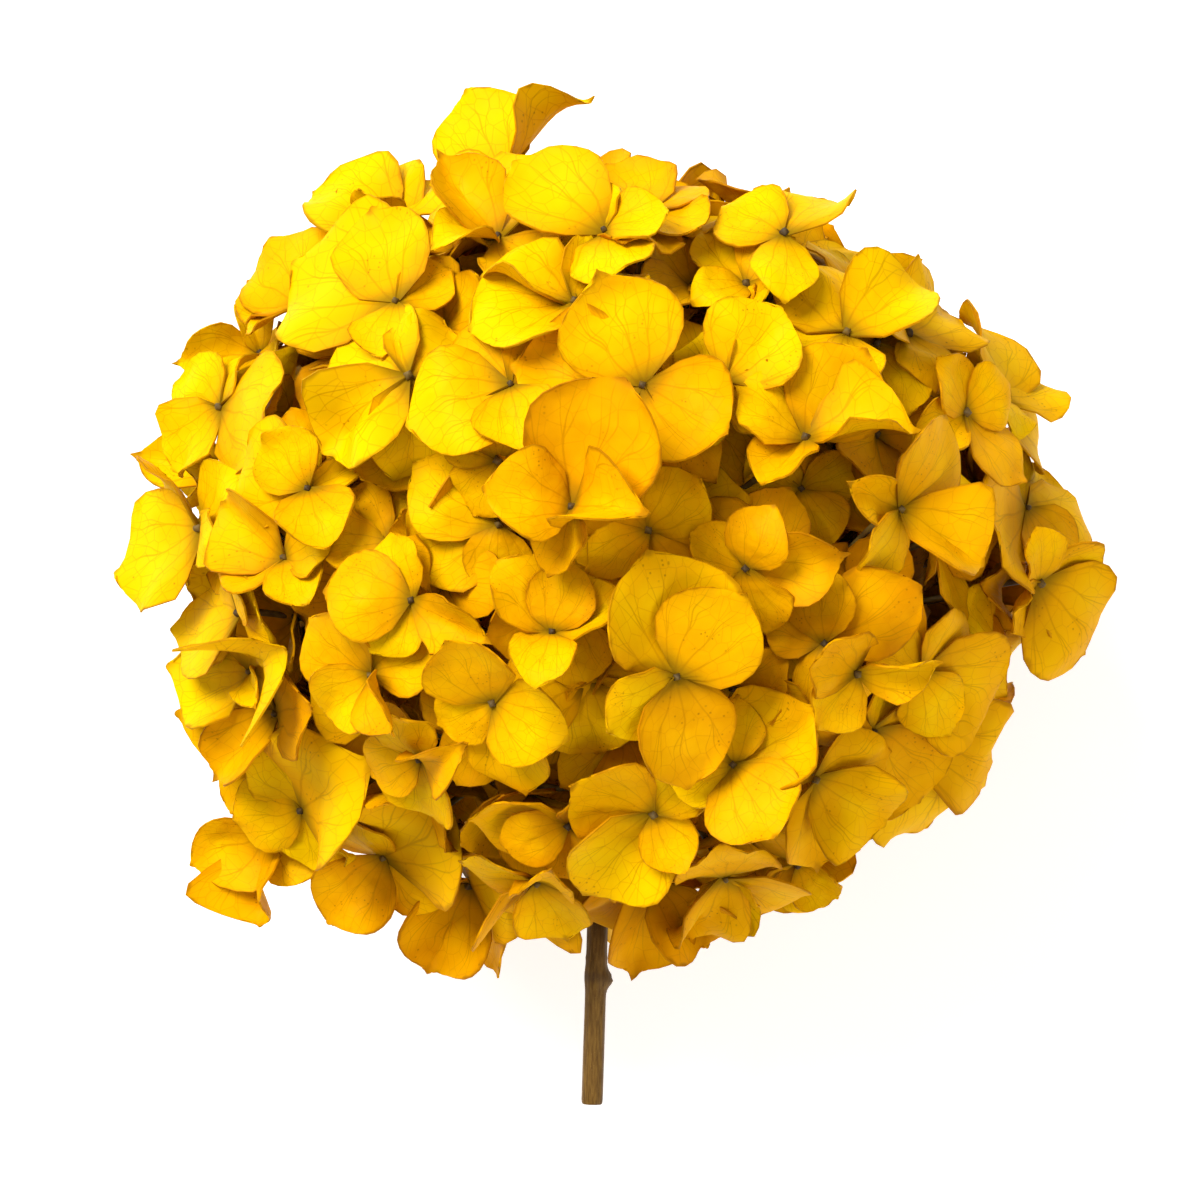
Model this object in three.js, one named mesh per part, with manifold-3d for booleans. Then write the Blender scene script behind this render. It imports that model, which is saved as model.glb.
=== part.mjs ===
// A preserved hydrangea stem, laid down: a round head of four-petalled florets on a short brown stem.
// Millimetres, +Z up. The head lies on its back on z = 0, and its stem points along -Y.
import * as THREE from "three";
import { mergeVertices } from "three/addons/utils/BufferGeometryUtils.js";
import Module from "manifold-3d";

const wasm = await Module();
wasm.setup();
const { Manifold } = wasm;

// Driving dimensions. The modelling frame has its origin in the middle of the head.
const FLORET_SPAN = new THREE.Vector3(82, 74, 66); // half-axes of the egg on which the florets' eyes lie
const BACK_DEPTH = 60; // the same half-axis at the flattened back
const FLOOR = -63; // the surface that the back of the head is pressed against
const WRAP = 0.7; // how far the florets' petals follow the egg's curve
const FORK = new THREE.Vector3(-3.5, -44, 0); // where the stem divides into its rays
const STEM_FOOT = new THREE.Vector3(-5.6, -113.8, 0); // middle of the cut end
const STEM_RADIUS = 2.1;
const STEM_CLEAR = STEM_RADIUS + 3.4; // from the stem's axis to the middle of a petal
const STEM_ROOM = 18; // and to an eye
const FORK_RADIUS = 4.2; // the swelling that the rays grow from
const JOINT_HEIGHT = 25.6; // the old leaf joint, above the cut end
const PRESSED_AT = [0, -4]; // the eye of the floret that the head rests on
const SHEET = 0.8; // thickness of a petal
const GAP = 0.3; // clearance between the stem and the head that it carries
const RAY_RADIUS = 1.6;
const TWIG_RADIUS = 0.75;
const STALK_STEP = 3.2; // at most, between the places where two stalks leave a ray
const SPACING = 29; // least distance between the eyes that a rule places round the sides and back
const SIDE_HEIGHT = 34; // the rule places florets below this height of the egg
const SIDE_PETAL = 26; // mean length of their petals
const SIDE_SHARE = 0.88; // how far out they stand sideways, as a share of the egg
const FLAT_SHARE = 0.13; // how much less far at the upper right, where the head is flatter
const FLAT_TURN = (65 * Math.PI) / 180; // the middle of that flatter part, from the right towards the crown
const TURN_UP = 1.1; // how far the front florets turn from the egg's way out to face up
const SEED = 20261;

// The points of the head that its main rays reach towards.
const RAY_TARGETS = [
  [-8, 62, 36],
  [40, 48, 26],
  [-48, 42, 30],
  [-66, 0, 30],
  [62, 6, 30],
  [4, 24, 62],
  [-26, -8, 60],
  [26, -24, 54],
  [-48, -52, 20],
  [44, -52, 24],
  [-2, -62, 34],
  [4, 44, -42],
  [-54, 8, -40],
  [54, 8, -40],
  [2, -18, -58],
  [2, -66, -30],
].map((target) => new THREE.Vector3(...target));

// Florets of the side that shows: the eye's x, y and lift off the egg, then a vector from the eye to the
// tip of each petal. A fourth number with the eye is how far that floret turns up, in place of TURN_UP.
const FRONT_FLORETS = [
  // crown
  [[-23, 70, 0], [-7, 18, -2], [6, 2, 15], [15, 18, 4], [-14, -3, 6]],
  [[-24, 57, 3], [-12, -1, 12], [-15, 15, 4], [2, 15, -4], [9, -8, 4]],
  [[-3, 55, 5], [-16, 12, 1], [-4, 12, 9], [12, 4, 7], [2, -9, 8]],
  [[-9, 43, 4], [-17, 8, 4], [8, 8, -6], [7, -9, 3], [-19, -1, 11]],
  [[6, 61, 3], [-9, 10, 0], [8, 7, -2], [9, -4, 6], [-6, -8, 9]],
  [[-43, 44, 4], [-4, 18, 6], [10, 8, -4], [-2, -9, 2], [-21, 9, -3]],
  [[-44, 61, 1], [-17, 9, 0], [-5, 13, -3], [8, 9, -4], [-3, 2, 12]],
  [[29, 53, 4], [-11, 9, -3], [-4, 13, 4], [10, 8, -1], [2, -7, 10]],
  [[24, 47, -3], [-4, 14, 1], [5, 7, 8], [3, -8, 5], [-10, -3, 3]],
  [[42, 37, 4], [-13, 2, -5], [-7, 19, 5], [15, 9, 3], [3, -8, 8]],
  [[43, 47, -3], [-6, 10, -2], [6, 10, -3], [10, -4, 4], [-5, -7, 8]],
  [[55, 38, -2], [-2, 12, -3], [10, 7, -2], [6, -10, 6], [-10, 4, 7]],
  // left
  [[-40, 29, 6], [-15, 14, 2], [6, 12, -9], [-1, -20, -2], [-18, -13, 4]],
  [[-62, 45, 1], [-5, 12, -4], [6, 3, 6], [-7, -5, 12], [-13, 8, -3]],
  [[-72, 36, 0], [-16, 1, 3], [-3, 9, -2], [6, 4, -12], [-3, -9, 8]],
  [[-76, 24, 2], [-12, 6, -1], [5, 13, 4], [9, -3, 8], [-13, -10, 2]],
  [[-81, 13, -8], [-17, 2, -2], [-5, 10, -9], [-3, -8, -10], [-4, -3, 13]],
  [[-59, 8, 3], [-8, 11, 6], [7, 4, -6], [3, -10, 9], [-14, 6, -2]],
  [[-78, 1, 0], [-17, 7, 0], [4, 10, 8], [-14, -9, -2], [-2, -3, 15]],
  [[-64, -5, 2], [-12, 11, 2], [8, 5, 4], [3, -8, 9], [-13, -3, 7]],
  [[-72, -15, -2], [-12, 4, -2], [2, 9, 6], [-9, -5, -3], [5, -2, 12]],
  // right
  [[19, 28, 5], [-4, 15, -4], [11, 14, 8], [11, -7, -5], [-9, -6, -6]],
  [[34, 17, 6], [-13, 10, -2], [11, 16, 3], [20, 3, 9], [-9, -10, 4]],
  [[49, 36, -6], [-7, 9, -5], [9, 6, -8], [14, -6, 4], [5, -15, 4]],
  [[66, 23, 4], [-4, 10, 9], [8, 4, 9], [11, -14, 3], [-9, -6, -2]],
  [[73, 27, -3], [-5, 16, -2], [13, 8, -4], [14, -8, -6], [4, -4, 12]],
  [[52, 4, 7], [8, 18, 2], [17, 5, -2], [18, -13, 3], [-6, -13, 1], [-8, 5, 10]],
  [[80, 5, 2], [-11, -5, 9], [3, 9, -9], [18, -3, -2], [10, -13, 7]],
  [[77, -9, -1], [2, 8, 9], [16, -3, 5], [13, -13, -3], [-3, -9, 5]],
  // front
  [[-20, 26, 4], [-15, 8, -3], [12, 6, -7], [2, -9, 9], [-20, -5, 5]],
  [[4, 27, 6], [-24, 3, -4], [-8, 20, 4], [15, -10, 5], [-4, -15, -5]],
  [[-9, 4, 12], [-17, 3, 7], [12, 23, 3], [12, 0, 17], [-3, -11, -2]],
  [[-23, 13, 3], [-10, 6, 3], [0, 11, 2], [9, -4, -6], [-4, -10, -4]],
  [[23, -7, 3], [5, 11, 4], [18, 2, 6], [4, -13, -3], [-8, 5, -5]],
  [[-13, -19, 6], [-9, 14, 3], [4, 13, 0], [13, 6, -2], [-2, -8, 12]],
  [[-23, 1, -5], [-15, 10, -3], [7, 7, -4], [-1, -10, 1], [-19, -3, 5]],
  [[-44, -2, -5], [-10, 10, 0], [4, 10, -2], [8, -8, 4], [-11, -1, 4]],
  [[34, 8, -12], [-9, 8, -1], [12, 4, 1], [4, -12, 2], [-12, -3, 1]],
  [[10, -27, 10], [-4, 22, 7], [13, 15, 2], [3, -22, 2], [-13, -10, 6]],
  [[38, -21, 2], [-8, 6, -4], [-1, 12, 7], [17, 12, 3], [1, -9, 3]],
  [[43, -26, 7], [-7, 5, 9], [18, 2, 8], [6, -8, -3], [-5, -10, 5]],
  // lower left
  [[-39, -13, 3], [-17, 2, 5], [-5, 12, -4], [13, -8, 5], [-8, -10, 2]],
  [[-47, -27, 4], [-13, 10, 3], [11, 4, 3], [8, -10, 6], [-9, -8, 3]],
  [[-24, -32, 5], [-8, 13, 6], [14, -7, 2], [4, -20, 4], [-10, -5, 1]],
  [[-38, -43, 3], [-6, 9, 8], [8, 2, 9], [0, -15, 6], [-12, -3, 1]],
  [[-72, -27, 2], [-18, 0, 2], [-12, 6, -4], [8, 5, 8], [4, -7, 9]],
  [[-67, -35, 0], [-21, -2, 2], [-10, 8, -3], [9, 2, 8], [-12, -9, 2]],
  [[-69, -45, -4], [-14, 0, -3], [-6, 8, -7], [6, 0, 11], [-11, -10, 3]],
  [[-59, -51, 4], [-9, 12, 4], [9, 6, 5], [1, -15, 2], [-14, -5, 2]],
  [[-68, -57, -3, 0.3], [-13, -8, 1], [4, 8, 6], [9, -11, 5], [-3, -18, -2]],
  [[-47, -64, 4, 0.3], [-9, 9, 8], [12, 6, 3], [13, -10, 1], [-11, -14, 2]],
  [[-30, -70, -3, 0.3], [-12, 3, 3], [10, 3, 6], [7, -18, 2], [-9, -17, -2]],
  [[-16, -67, 4], [-15, 2, 5], [3, 7, 10], [6, -9, 6], [-7, -12, 4]],
  [[-10, -56, 3], [-18, 3, 2], [7, 7, 4], [2, -13, 5], [-13, -4, 7]],
  // lower right
  [[-7, -28, -5], [-16, -3, 5], [3, 9, -6], [10, -4, -5], [3, -15, 3]],
  [[21, -44, 6], [-9, -1, 1], [0, 11, -6], [15, 10, 6], [5, -9, 12]],
  [[37, -47, 2], [-10, 7, -3], [17, 6, -1], [17, -11, 4], [1, -20, 2]],
  [[48, -38, -2], [-8, 3, 1], [5, 11, -3], [15, -2, 4], [7, -12, -1]],
  [[57, -27, 2], [-8, 4, 2], [11, 10, 2], [16, -5, -3], [6, -12, 5]],
  [[60, -40, -2], [-7, 3, 6], [5, 10, -5], [14, -4, -1], [3, -22, 1]],
  [[73, -22, -5], [-4, 8, 6], [6, 3, 6], [4, -11, 0], [-7, -7, -1]],
  [[6, -53, 4], [-15, 5, 6], [7, 8, -3], [5, -10, 7], [-13, -14, 2]],
  [[20, -66, 2], [-9, -12, 4], [0, 7, 13], [14, -8, -3], [3, -15, 6]],
  [[35, -65, -2], [-8, -6, -2], [2, 8, 10], [10, -6, 4], [2, -11, 5]],
  [[7, -69, -3], [-15, -8, 3], [1, 7, 9], [9, -9, 2], [-5, -20, 3]],
];

// A repeatable stream of numbers from 0 to 1.
function drawFrom(seed) {
  let state = seed;
  return () => {
    state = (state * 1664525 + 1013904223) % 4294967296;
    return state / 4294967296;
  };
}
const draw = drawFrom(SEED);
const between = (low, high) => low + (high - low) * draw();

// How far out the eyes lie at x, y, and the way that the egg faces there.
function eggHeight(x, y) {
  return FLORET_SPAN.z * Math.sqrt(Math.max(0, 1 - (x / FLORET_SPAN.x) ** 2 - (y / FLORET_SPAN.y) ** 2));
}
function eggNormal(point) {
  const depth = point.z < 0 ? BACK_DEPTH : FLORET_SPAN.z;
  return new THREE.Vector3(
    point.x / FLORET_SPAN.x ** 2,
    point.y / FLORET_SPAN.y ** 2,
    point.z / depth ** 2,
  ).normalize();
}

function frontFlorets() {
  return FRONT_FLORETS.map(([[x, y, lift, turnUp = TURN_UP], ...tips]) => {
    const eye = new THREE.Vector3(x, y, eggHeight(x, y) + lift);
    const out = eggNormal(eye).add(new THREE.Vector3(0, 0, turnUp)).normalize();
    const petals = tips.map(([across, up, rise]) => {
      const fall = Math.max(eggHeight(x + across, y + up) - eggHeight(x, y), -26);
      return new THREE.Vector3(across, up, rise + WRAP * fall);
    });
    return { eye, petals, out };
  });
}

// A floret pressed flat under the head's weight, which the head rests on.
function pressedFloret() {
  const petals = [290, 200, 112, 20].map((degrees) => {
    const angle = THREE.MathUtils.degToRad(degrees);
    return new THREE.Vector3(Math.cos(angle), Math.sin(angle), 0).multiplyScalar(SIDE_PETAL);
  });
  return { eye: new THREE.Vector3(...PRESSED_AT, FLOOR + SHEET / 2), petals, pressed: true };
}

// Florets round the sides and back: the points of a golden-angle spiral that are free of other eyes.
function sideFlorets(placed) {
  const tries = 240;
  const golden = Math.PI * (3 - Math.sqrt(5));
  const found = [];
  for (let i = 0; i < tries; i += 1) {
    const height = 1 - (2 * i + 1) / tries;
    const reach = Math.sqrt(1 - height * height);
    const flatter = Math.max(0, Math.cos(i * golden - FLAT_TURN)) ** 4;
    const share = SIDE_SHARE - FLAT_SHARE * flatter;
    const eye = new THREE.Vector3(
      share * FLORET_SPAN.x * reach * Math.cos(i * golden),
      share * FLORET_SPAN.y * reach * Math.sin(i * golden),
      (height < 0 ? BACK_DEPTH : FLORET_SPAN.z) * height,
    );
    const crowded = [...placed, ...found].some((floret) => floret.eye.distanceTo(eye) < SPACING);
    if (eye.z > SIDE_HEIGHT || crowded || offStem(eye).length() < STEM_ROOM) continue;
    found.push({ eye, petals: spreadPetals(eye), out: eggNormal(eye) });
  }
  return found;
}

// Four petals that spread round an eye and lift off the head.
function spreadPetals(eye) {
  const out = eggNormal(eye);
  const turn = between(0, Math.PI / 2);
  const lift = between(0.1, 0.4);
  return [0, 1, 2, 3].map((k) => {
    const angle = turn + (k * Math.PI) / 2 + between(-0.15, 0.15);
    const rise = lift + between(-0.15, 0.2);
    return petalAt(out, angle, rise, SIDE_PETAL * between(0.88, 1.1));
  });
}

// The way from the stem's axis to a point beside the stem. Past the fork there is no stem.
function offStem(point) {
  const axis = FORK.clone().sub(STEM_FOOT).normalize();
  const share = point.clone().sub(STEM_FOOT).dot(axis);
  if (share > FORK.distanceTo(STEM_FOOT) + FORK_RADIUS) return new THREE.Vector3(0, 0, 1e3);
  return point.clone().sub(STEM_FOOT).addScaledVector(axis, -share);
}

// Bends a point of a petal clear of the stem and of the surface below.
function bendClear(point) {
  const off = offStem(point);
  const distance = off.length();
  if (distance < STEM_CLEAR) point.addScaledVector(off, STEM_CLEAR / distance - 1);
  point.z = Math.max(point.z, FLOOR + SHEET / 2);
}

// The middle surface of a floret: its petals are lobes of one thin sheet round the eye.
// Shares of a petal's length, along it and to the side.
const NOTCH_AT = 0.28;
const SHOULDER = { along: 0.6, aside: 0.54 };
const BROW = { along: 0.98, aside: 0.27 };
const BELLY_AT = 0.6;

// How far a petal may stand from its even place round the eye, and between which angles it may rise.
const MAX_STRAY = 0.38;
const RISE = [-0.4, 0.85];
const LEAST_PETAL = 13;

// How the florets are bent off one another.
const BEND_ROUNDS = 30;
const BEND_STEP = 2.4;
const CLEARANCE = 1.7;

function floretSurface(floret) {
  const count = floret.petals.length;
  const points = [floret.eye];
  const faces = [];
  const axes = floret.petals.map((petal) => petal.clone().normalize());
  const notches = axes.map((axis, k) => {
    const next = (k + 1) % count;
    const length = (floret.petals[k].length() + floret.petals[next].length()) / 2;
    const middle = axis.clone().add(axes[next]).normalize();
    return points.push(floret.eye.clone().addScaledVector(middle, NOTCH_AT * length)) - 1;
  });
  floret.petals.forEach((petal, k) => {
    const length = petal.length();
    const at = (along, side, aside, rise) => {
      const point = floret.eye.clone().addScaledVector(axes[k], along * length);
      point.addScaledVector(side, aside * length).addScaledVector(floret.facing, rise * length);
      return points.push(point) - 1;
    };
    const sideTo = (neighbour) => {
      const side = neighbour.clone().addScaledVector(axes[k], -neighbour.dot(axes[k])).normalize();
      const half = Math.min(axes[k].angleTo(neighbour) / 2, 1.1);
      return {
        shoulder: at(SHOULDER.along, side, Math.min(SHOULDER.aside, SHOULDER.along * Math.tan(0.9 * half)), 0),
        brow: at(BROW.along, side, Math.min(BROW.aside, BROW.along * Math.tan(0.6 * half)), floret.curl),
      };
    };
    const last = sideTo(axes[(k + count - 1) % count]);
    const next = sideTo(axes[(k + 1) % count]);
    const belly = at(BELLY_AT, axes[k], 0, floret.belly);
    const edge = [0, notches[(k + count - 1) % count], last.shoulder, last.brow, next.brow, next.shoulder, notches[k]];
    edge.forEach((corner, i) => faces.push([belly, corner, edge[(i + 1) % edge.length]]));
  });
  return { points, faces, pressed: floret.pressed === true };
}

// Every point, edge and face of a sheet as a sample: the shares that its points have in it.
function samplesOf(sheet) {
  const corners = sheet.points.map((_, i) => [[i, 1]]);
  const middles = sheet.faces.map((face) => face.map((i) => [i, 1 / 3]));
  const rims = sheet.faces.map(([, a, b]) => [[a, 0.5], [b, 0.5]]);
  return [...corners, ...middles, ...rims];
}

function sampleAt(sheet, shares) {
  return shares.reduce((sum, [i, share]) => sum.addScaledVector(sheet.points[i], share), new THREE.Vector3());
}

// Each face as seen from the middle of the head, ready for the test of what lies over it.
function facesFromMiddle(sheet) {
  return sheet.faces.map((face) => {
    const [a, b, c] = face.map((i) => sheet.points[i]);
    const sides = [b.clone().cross(c), c.clone().cross(a), a.clone().cross(b)];
    return { face, sides, volume: a.dot(sides[0]) };
  });
}

// Where the samples of one sheet lie over or under another, seen from the middle of the head.
function crossings(above, below) {
  const found = [];
  for (const { shares, at } of above.samples) {
    if (at.dot(below.way) < at.length() * below.spread) continue;
    for (const { face, sides, volume } of below.seen) {
      if (Math.abs(volume) < 20) continue;
      const parts = sides.map((side) => at.dot(side) / volume);
      if (parts.some((part) => part < 0)) continue;
      const sum = parts[0] + parts[1] + parts[2];
      found.push({
        gap: at.length() * (1 - 1 / sum),
        upper: shares,
        lower: face.map((corner, i) => [corner, parts[i] / sum]),
      });
    }
  }
  return found;
}

// Bends the petals of different florets off one another. Of two that overlap, the one that lies further
// out on the whole goes over the other, and every petal keeps its length.
function untangle(sheets) {
  const lengths = sheets.map((sheet) => sheet.points.map((point) => point.distanceTo(sheet.points[0])));
  const shares = sheets.map(samplesOf);
  for (let round = 0; round < BEND_ROUNDS; round += 1) {
    const states = sheets.map((sheet, i) => {
      const way = sheet.points.reduce((sum, point) => sum.add(point), new THREE.Vector3()).normalize();
      return {
        way,
        spread: Math.min(...sheet.points.map((point) => point.dot(way) / point.length())),
        seen: facesFromMiddle(sheet),
        samples: shares[i].map((own) => ({ shares: own, at: sampleAt(sheet, own) })),
        moves: sheet.points.map(() => ({ sum: 0, weight: 0 })),
      };
    });
    for (let i = 0; i < sheets.length; i += 1) {
      for (let j = i + 1; j < sheets.length; j += 1) pushApart(states[i], states[j]);
    }
    sheets.forEach((sheet, i) => {
      if (!sheet.pressed) moveSheet(sheet, states[i].moves, lengths[i]);
    });
  }
}

function pushApart(first, second) {
  const limits = Math.cos(Math.acos(first.spread) + Math.acos(second.spread));
  if (first.way.dot(second.way) < limits) return;
  const firstOver = crossings(first, second);
  const secondOver = crossings(second, first);
  const lead = firstOver.reduce((sum, hit) => sum + hit.gap, 0) - secondOver.reduce((sum, hit) => sum + hit.gap, 0);
  const side = lead >= 0 ? 1 : -1;
  const share = (moves, parts, push) => {
    for (const [corner, part] of parts) {
      moves[corner].sum += part * push;
      moves[corner].weight += part;
    }
  };
  const push = (hits, over, under, way) => {
    for (const hit of hits) {
      const short = CLEARANCE - hit.gap * way;
      if (short <= 0) continue;
      const step = (Math.min(short, BEND_STEP) / 2) * way;
      share(over.moves, hit.upper, step);
      share(under.moves, hit.lower, -step);
    }
  };
  push(firstOver, first, second, side);
  push(secondOver, second, first, -side);
}

// Moves a sheet's points in or out by what was asked of them and, in part, of their neighbours.
function moveSheet(sheet, moves, lengths) {
  const asked = moves.map(({ sum, weight }) => (weight > 0 ? sum / Math.max(weight, 0.6) : 0));
  const around = asked.map(() => ({ sum: 0, count: 0 }));
  for (const face of sheet.faces) {
    for (const corner of face) {
      for (const other of face) around[corner].sum += asked[other];
      around[corner].count += 3;
    }
  }
  const eye = sheet.points[0];
  sheet.points.forEach((point, i) => {
    const step = 0.55 * asked[i] + 0.45 * (around[i].sum / around[i].count);
    point.addScaledVector(point.clone().normalize(), step);
    if (i === 0) return;
    point.sub(eye).setLength(lengths[i]).add(eye);
    bendClear(point);
  });
}

function faceNormal(points, [a, b, c]) {
  const ab = points[b].clone().sub(points[a]);
  return ab.cross(points[c].clone().sub(points[a]));
}

// A closed sheet of even thickness round a surface, with both faces split alike, and with a three-sided
// stalk that leads from under its eye to a point inside the head.
function floretSolid({ points, faces }, stalkFoot) {
  const normals = points.map(() => new THREE.Vector3());
  const edges = new Map();
  for (const face of faces) {
    const normal = faceNormal(points, face);
    face.forEach((corner, i) => {
      normals[corner].add(normal);
      const next = face[(i + 1) % 3];
      if (!edges.delete(`${next} ${corner}`)) edges.set(`${corner} ${next}`, [corner, next]);
    });
  }
  const count = points.length;
  const shell = [1, -1].flatMap((way) =>
    points.map((point, i) => point.clone().addScaledVector(normals[i].clone().normalize(), (way * SHEET) / 2)),
  );
  const closed = [];
  for (const [a, b, c] of faces) {
    closed.push([a, b, c]);
    if (a !== 0 && b !== 0 && c !== 0) closed.push([a + count, c + count, b + count]);
  }
  for (const [a, b] of edges.values()) closed.push([b, a, a + count], [b, a + count, b + count]);
  addStalk(shell, closed, ringRound(faces).map((i) => i + count), shell[count], stalkFoot);
  return solidFrom(shell, closed);
}

// The points round a surface's eye, in order.
function ringRound(faces) {
  const next = new Map();
  for (const face of faces) {
    const at = face.indexOf(0);
    if (at >= 0) next.set(face[(at + 1) % 3], face[(at + 2) % 3]);
  }
  const ring = [next.keys().next().value];
  while (ring.length < next.size) ring.push(next.get(ring.at(-1)));
  return ring;
}

function addStalk(points, faces, ring, underEye, foot) {
  const down = foot.clone().sub(underEye).normalize();
  const top = underEye.clone().addScaledVector(down, TWIG_RADIUS);
  const spokes = [0, 1, 2].map((k) => {
    const toRing = points[ring[Math.floor(((k + 0.5) * ring.length) / 3)]].clone().sub(underEye);
    return toRing.addScaledVector(down, -toRing.dot(down)).setLength(TWIG_RADIUS);
  });
  const upper = spokes.map((spoke) => points.push(top.clone().add(spoke)) - 1);
  const lower = spokes.map((spoke) => points.push(foot.clone().add(spoke)) - 1);
  ring.forEach((corner, i) => {
    const k = Math.floor((i * 3) / ring.length);
    const after = Math.floor((((i + 1) % ring.length) * 3) / ring.length);
    const next = ring[(i + 1) % ring.length];
    faces.push([next, corner, upper[k]]);
    if (after !== k) faces.push([next, upper[k], upper[after]]);
  });
  for (const k of [0, 1, 2]) {
    const next = (k + 1) % 3;
    faces.push([upper[k], lower[k], lower[next]], [upper[k], lower[next], upper[next]]);
  }
  faces.push([lower[2], lower[1], lower[0]]);
}

function solidFrom(points, faces) {
  return new Manifold(
    new wasm.Mesh({
      numProp: 3,
      vertProperties: new Float32Array(points.flatMap((p) => p.toArray())),
      triVerts: new Uint32Array(faces.flat()),
    }),
  );
}

function solidOf(geometry) {
  geometry.deleteAttribute("normal");
  geometry.deleteAttribute("uv");
  const merged = mergeVertices(geometry, 1e-4);
  return new Manifold(
    new wasm.Mesh({
      numProp: 3,
      vertProperties: merged.attributes.position.array,
      triVerts: new Uint32Array(merged.index.array),
    }),
  );
}

function ray(from, to) {
  const length = from.distanceTo(to);
  const geometry = new THREE.CylinderGeometry(RAY_RADIUS, RAY_RADIUS * 1.2, length, 4);
  const up = new THREE.Vector3(0, 1, 0);
  geometry.applyQuaternion(new THREE.Quaternion().setFromUnitVectors(up, to.clone().sub(from).normalize()));
  const middle = from.clone().lerp(to, 0.5);
  geometry.translate(middle.x, middle.y, middle.z);
  return solidOf(geometry);
}

// The knob at the fork and the rays that rise from it, and for each eye the place where its stalk leaves
// its ray.
function branching(eyes) {
  const heart = new THREE.Vector3(FORK.x, FORK.y + GAP + FORK_RADIUS, FORK.z);
  const hub = new THREE.IcosahedronGeometry(FORK_RADIUS, 0);
  hub.translate(heart.x, heart.y, heart.z);
  const solids = [solidOf(hub)];
  const towards = (point, target) => {
    return point.clone().sub(heart).normalize().dot(target.clone().sub(heart).normalize());
  };
  const feet = new Map();
  for (const target of RAY_TARGETS) {
    const group = eyes.filter((eye) => RAY_TARGETS.every((other) => towards(eye, other) <= towards(eye, target)));
    if (group.length === 0) continue;
    const mean = group.reduce((sum, eye) => sum.add(eye), new THREE.Vector3()).divideScalar(group.length);
    const end = heart.clone().lerp(mean, 0.6);
    solids.push(ray(heart, end));
    const last = end.distanceTo(heart) - RAY_RADIUS;
    const step = Math.min(STALK_STEP, (0.75 * last) / group.length);
    const reach = (eye) => eye.clone().sub(heart).dot(end.clone().sub(heart).normalize());
    group.sort((a, b) => reach(b) - reach(a));
    group.forEach((eye, i) => {
      feet.set(eye, heart.clone().lerp(end, (last - i * step) / end.distanceTo(heart)));
    });
  }
  return { solids, feet };
}

// One body: the largest, without loose scraps or sealed hollows.
function mainBody(solid) {
  return solid.decompose().reduce((a, b) => (a.volume() > b.volume() ? a : b));
}

// Puts a floret's petals in order round the way out of the head, keeps them apart, and limits how far
// they close or fold back.
function arranged(petals, out) {
  const { across, along } = planeOf(out);
  const polar = petals.map((petal) => ({
    turn: Math.atan2(petal.dot(along), petal.dot(across)),
    rise: Math.asin(petal.dot(out) / petal.length()),
    length: Math.max(petal.length(), LEAST_PETAL),
  }));
  polar.sort((a, b) => a.turn - b.turn);
  const even = (2 * Math.PI) / petals.length;
  const offsets = polar.map(({ turn }, k) => turn - k * even);
  const total = (of) => offsets.reduce((sum, offset) => sum + of(offset), 0);
  const start = Math.atan2(total(Math.sin), total(Math.cos));
  return polar.map(({ turn, rise, length }, k) => {
    const stray = Math.atan2(Math.sin(turn - k * even - start), Math.cos(turn - k * even - start));
    const kept = THREE.MathUtils.clamp(0.75 * stray, -MAX_STRAY, MAX_STRAY);
    return petalAt(out, start + k * even + kept, THREE.MathUtils.clamp(rise, ...RISE), length);
  });
}

function planeOf(out) {
  const across = new THREE.Vector3(0.02, 0.05, 1).cross(out).normalize();
  return { across, along: out.clone().cross(across) };
}

function petalAt(out, turn, rise, length) {
  const { across, along } = planeOf(out);
  return across
    .multiplyScalar(Math.cos(turn) * Math.cos(rise))
    .addScaledVector(along, Math.sin(turn) * Math.cos(rise))
    .addScaledVector(out, Math.sin(rise))
    .multiplyScalar(length);
}

// A floret with its petals in order, the way that it faces, and its cupping.
function settled(floret) {
  const petals = floret.pressed ? floret.petals : arranged(floret.petals, floret.out);
  const facing = petals.reduce(
    (sum, petal, k) => sum.add(petal.clone().cross(petals[(k + 1) % petals.length])),
    new THREE.Vector3(),
  );
  return {
    ...floret,
    petals,
    facing: facing.normalize(),
    belly: floret.pressed ? 0 : between(-0.06, 0.12),
    curl: floret.pressed ? 0 : between(-0.14, 0.06),
  };
}

function flowerHead() {
  const front = [...frontFlorets(), pressedFloret()];
  const sheets = [...front, ...sideFlorets(front)].map((floret) => floretSurface(settled(floret)));
  untangle(sheets);
  const { solids, feet } = branching(sheets.map((sheet) => sheet.points[0]));
  const florets = sheets.map((sheet) => floretSolid(sheet, feet.get(sheet.points[0])));
  return mainBody(Manifold.union([...florets, ...solids]));
}

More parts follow.
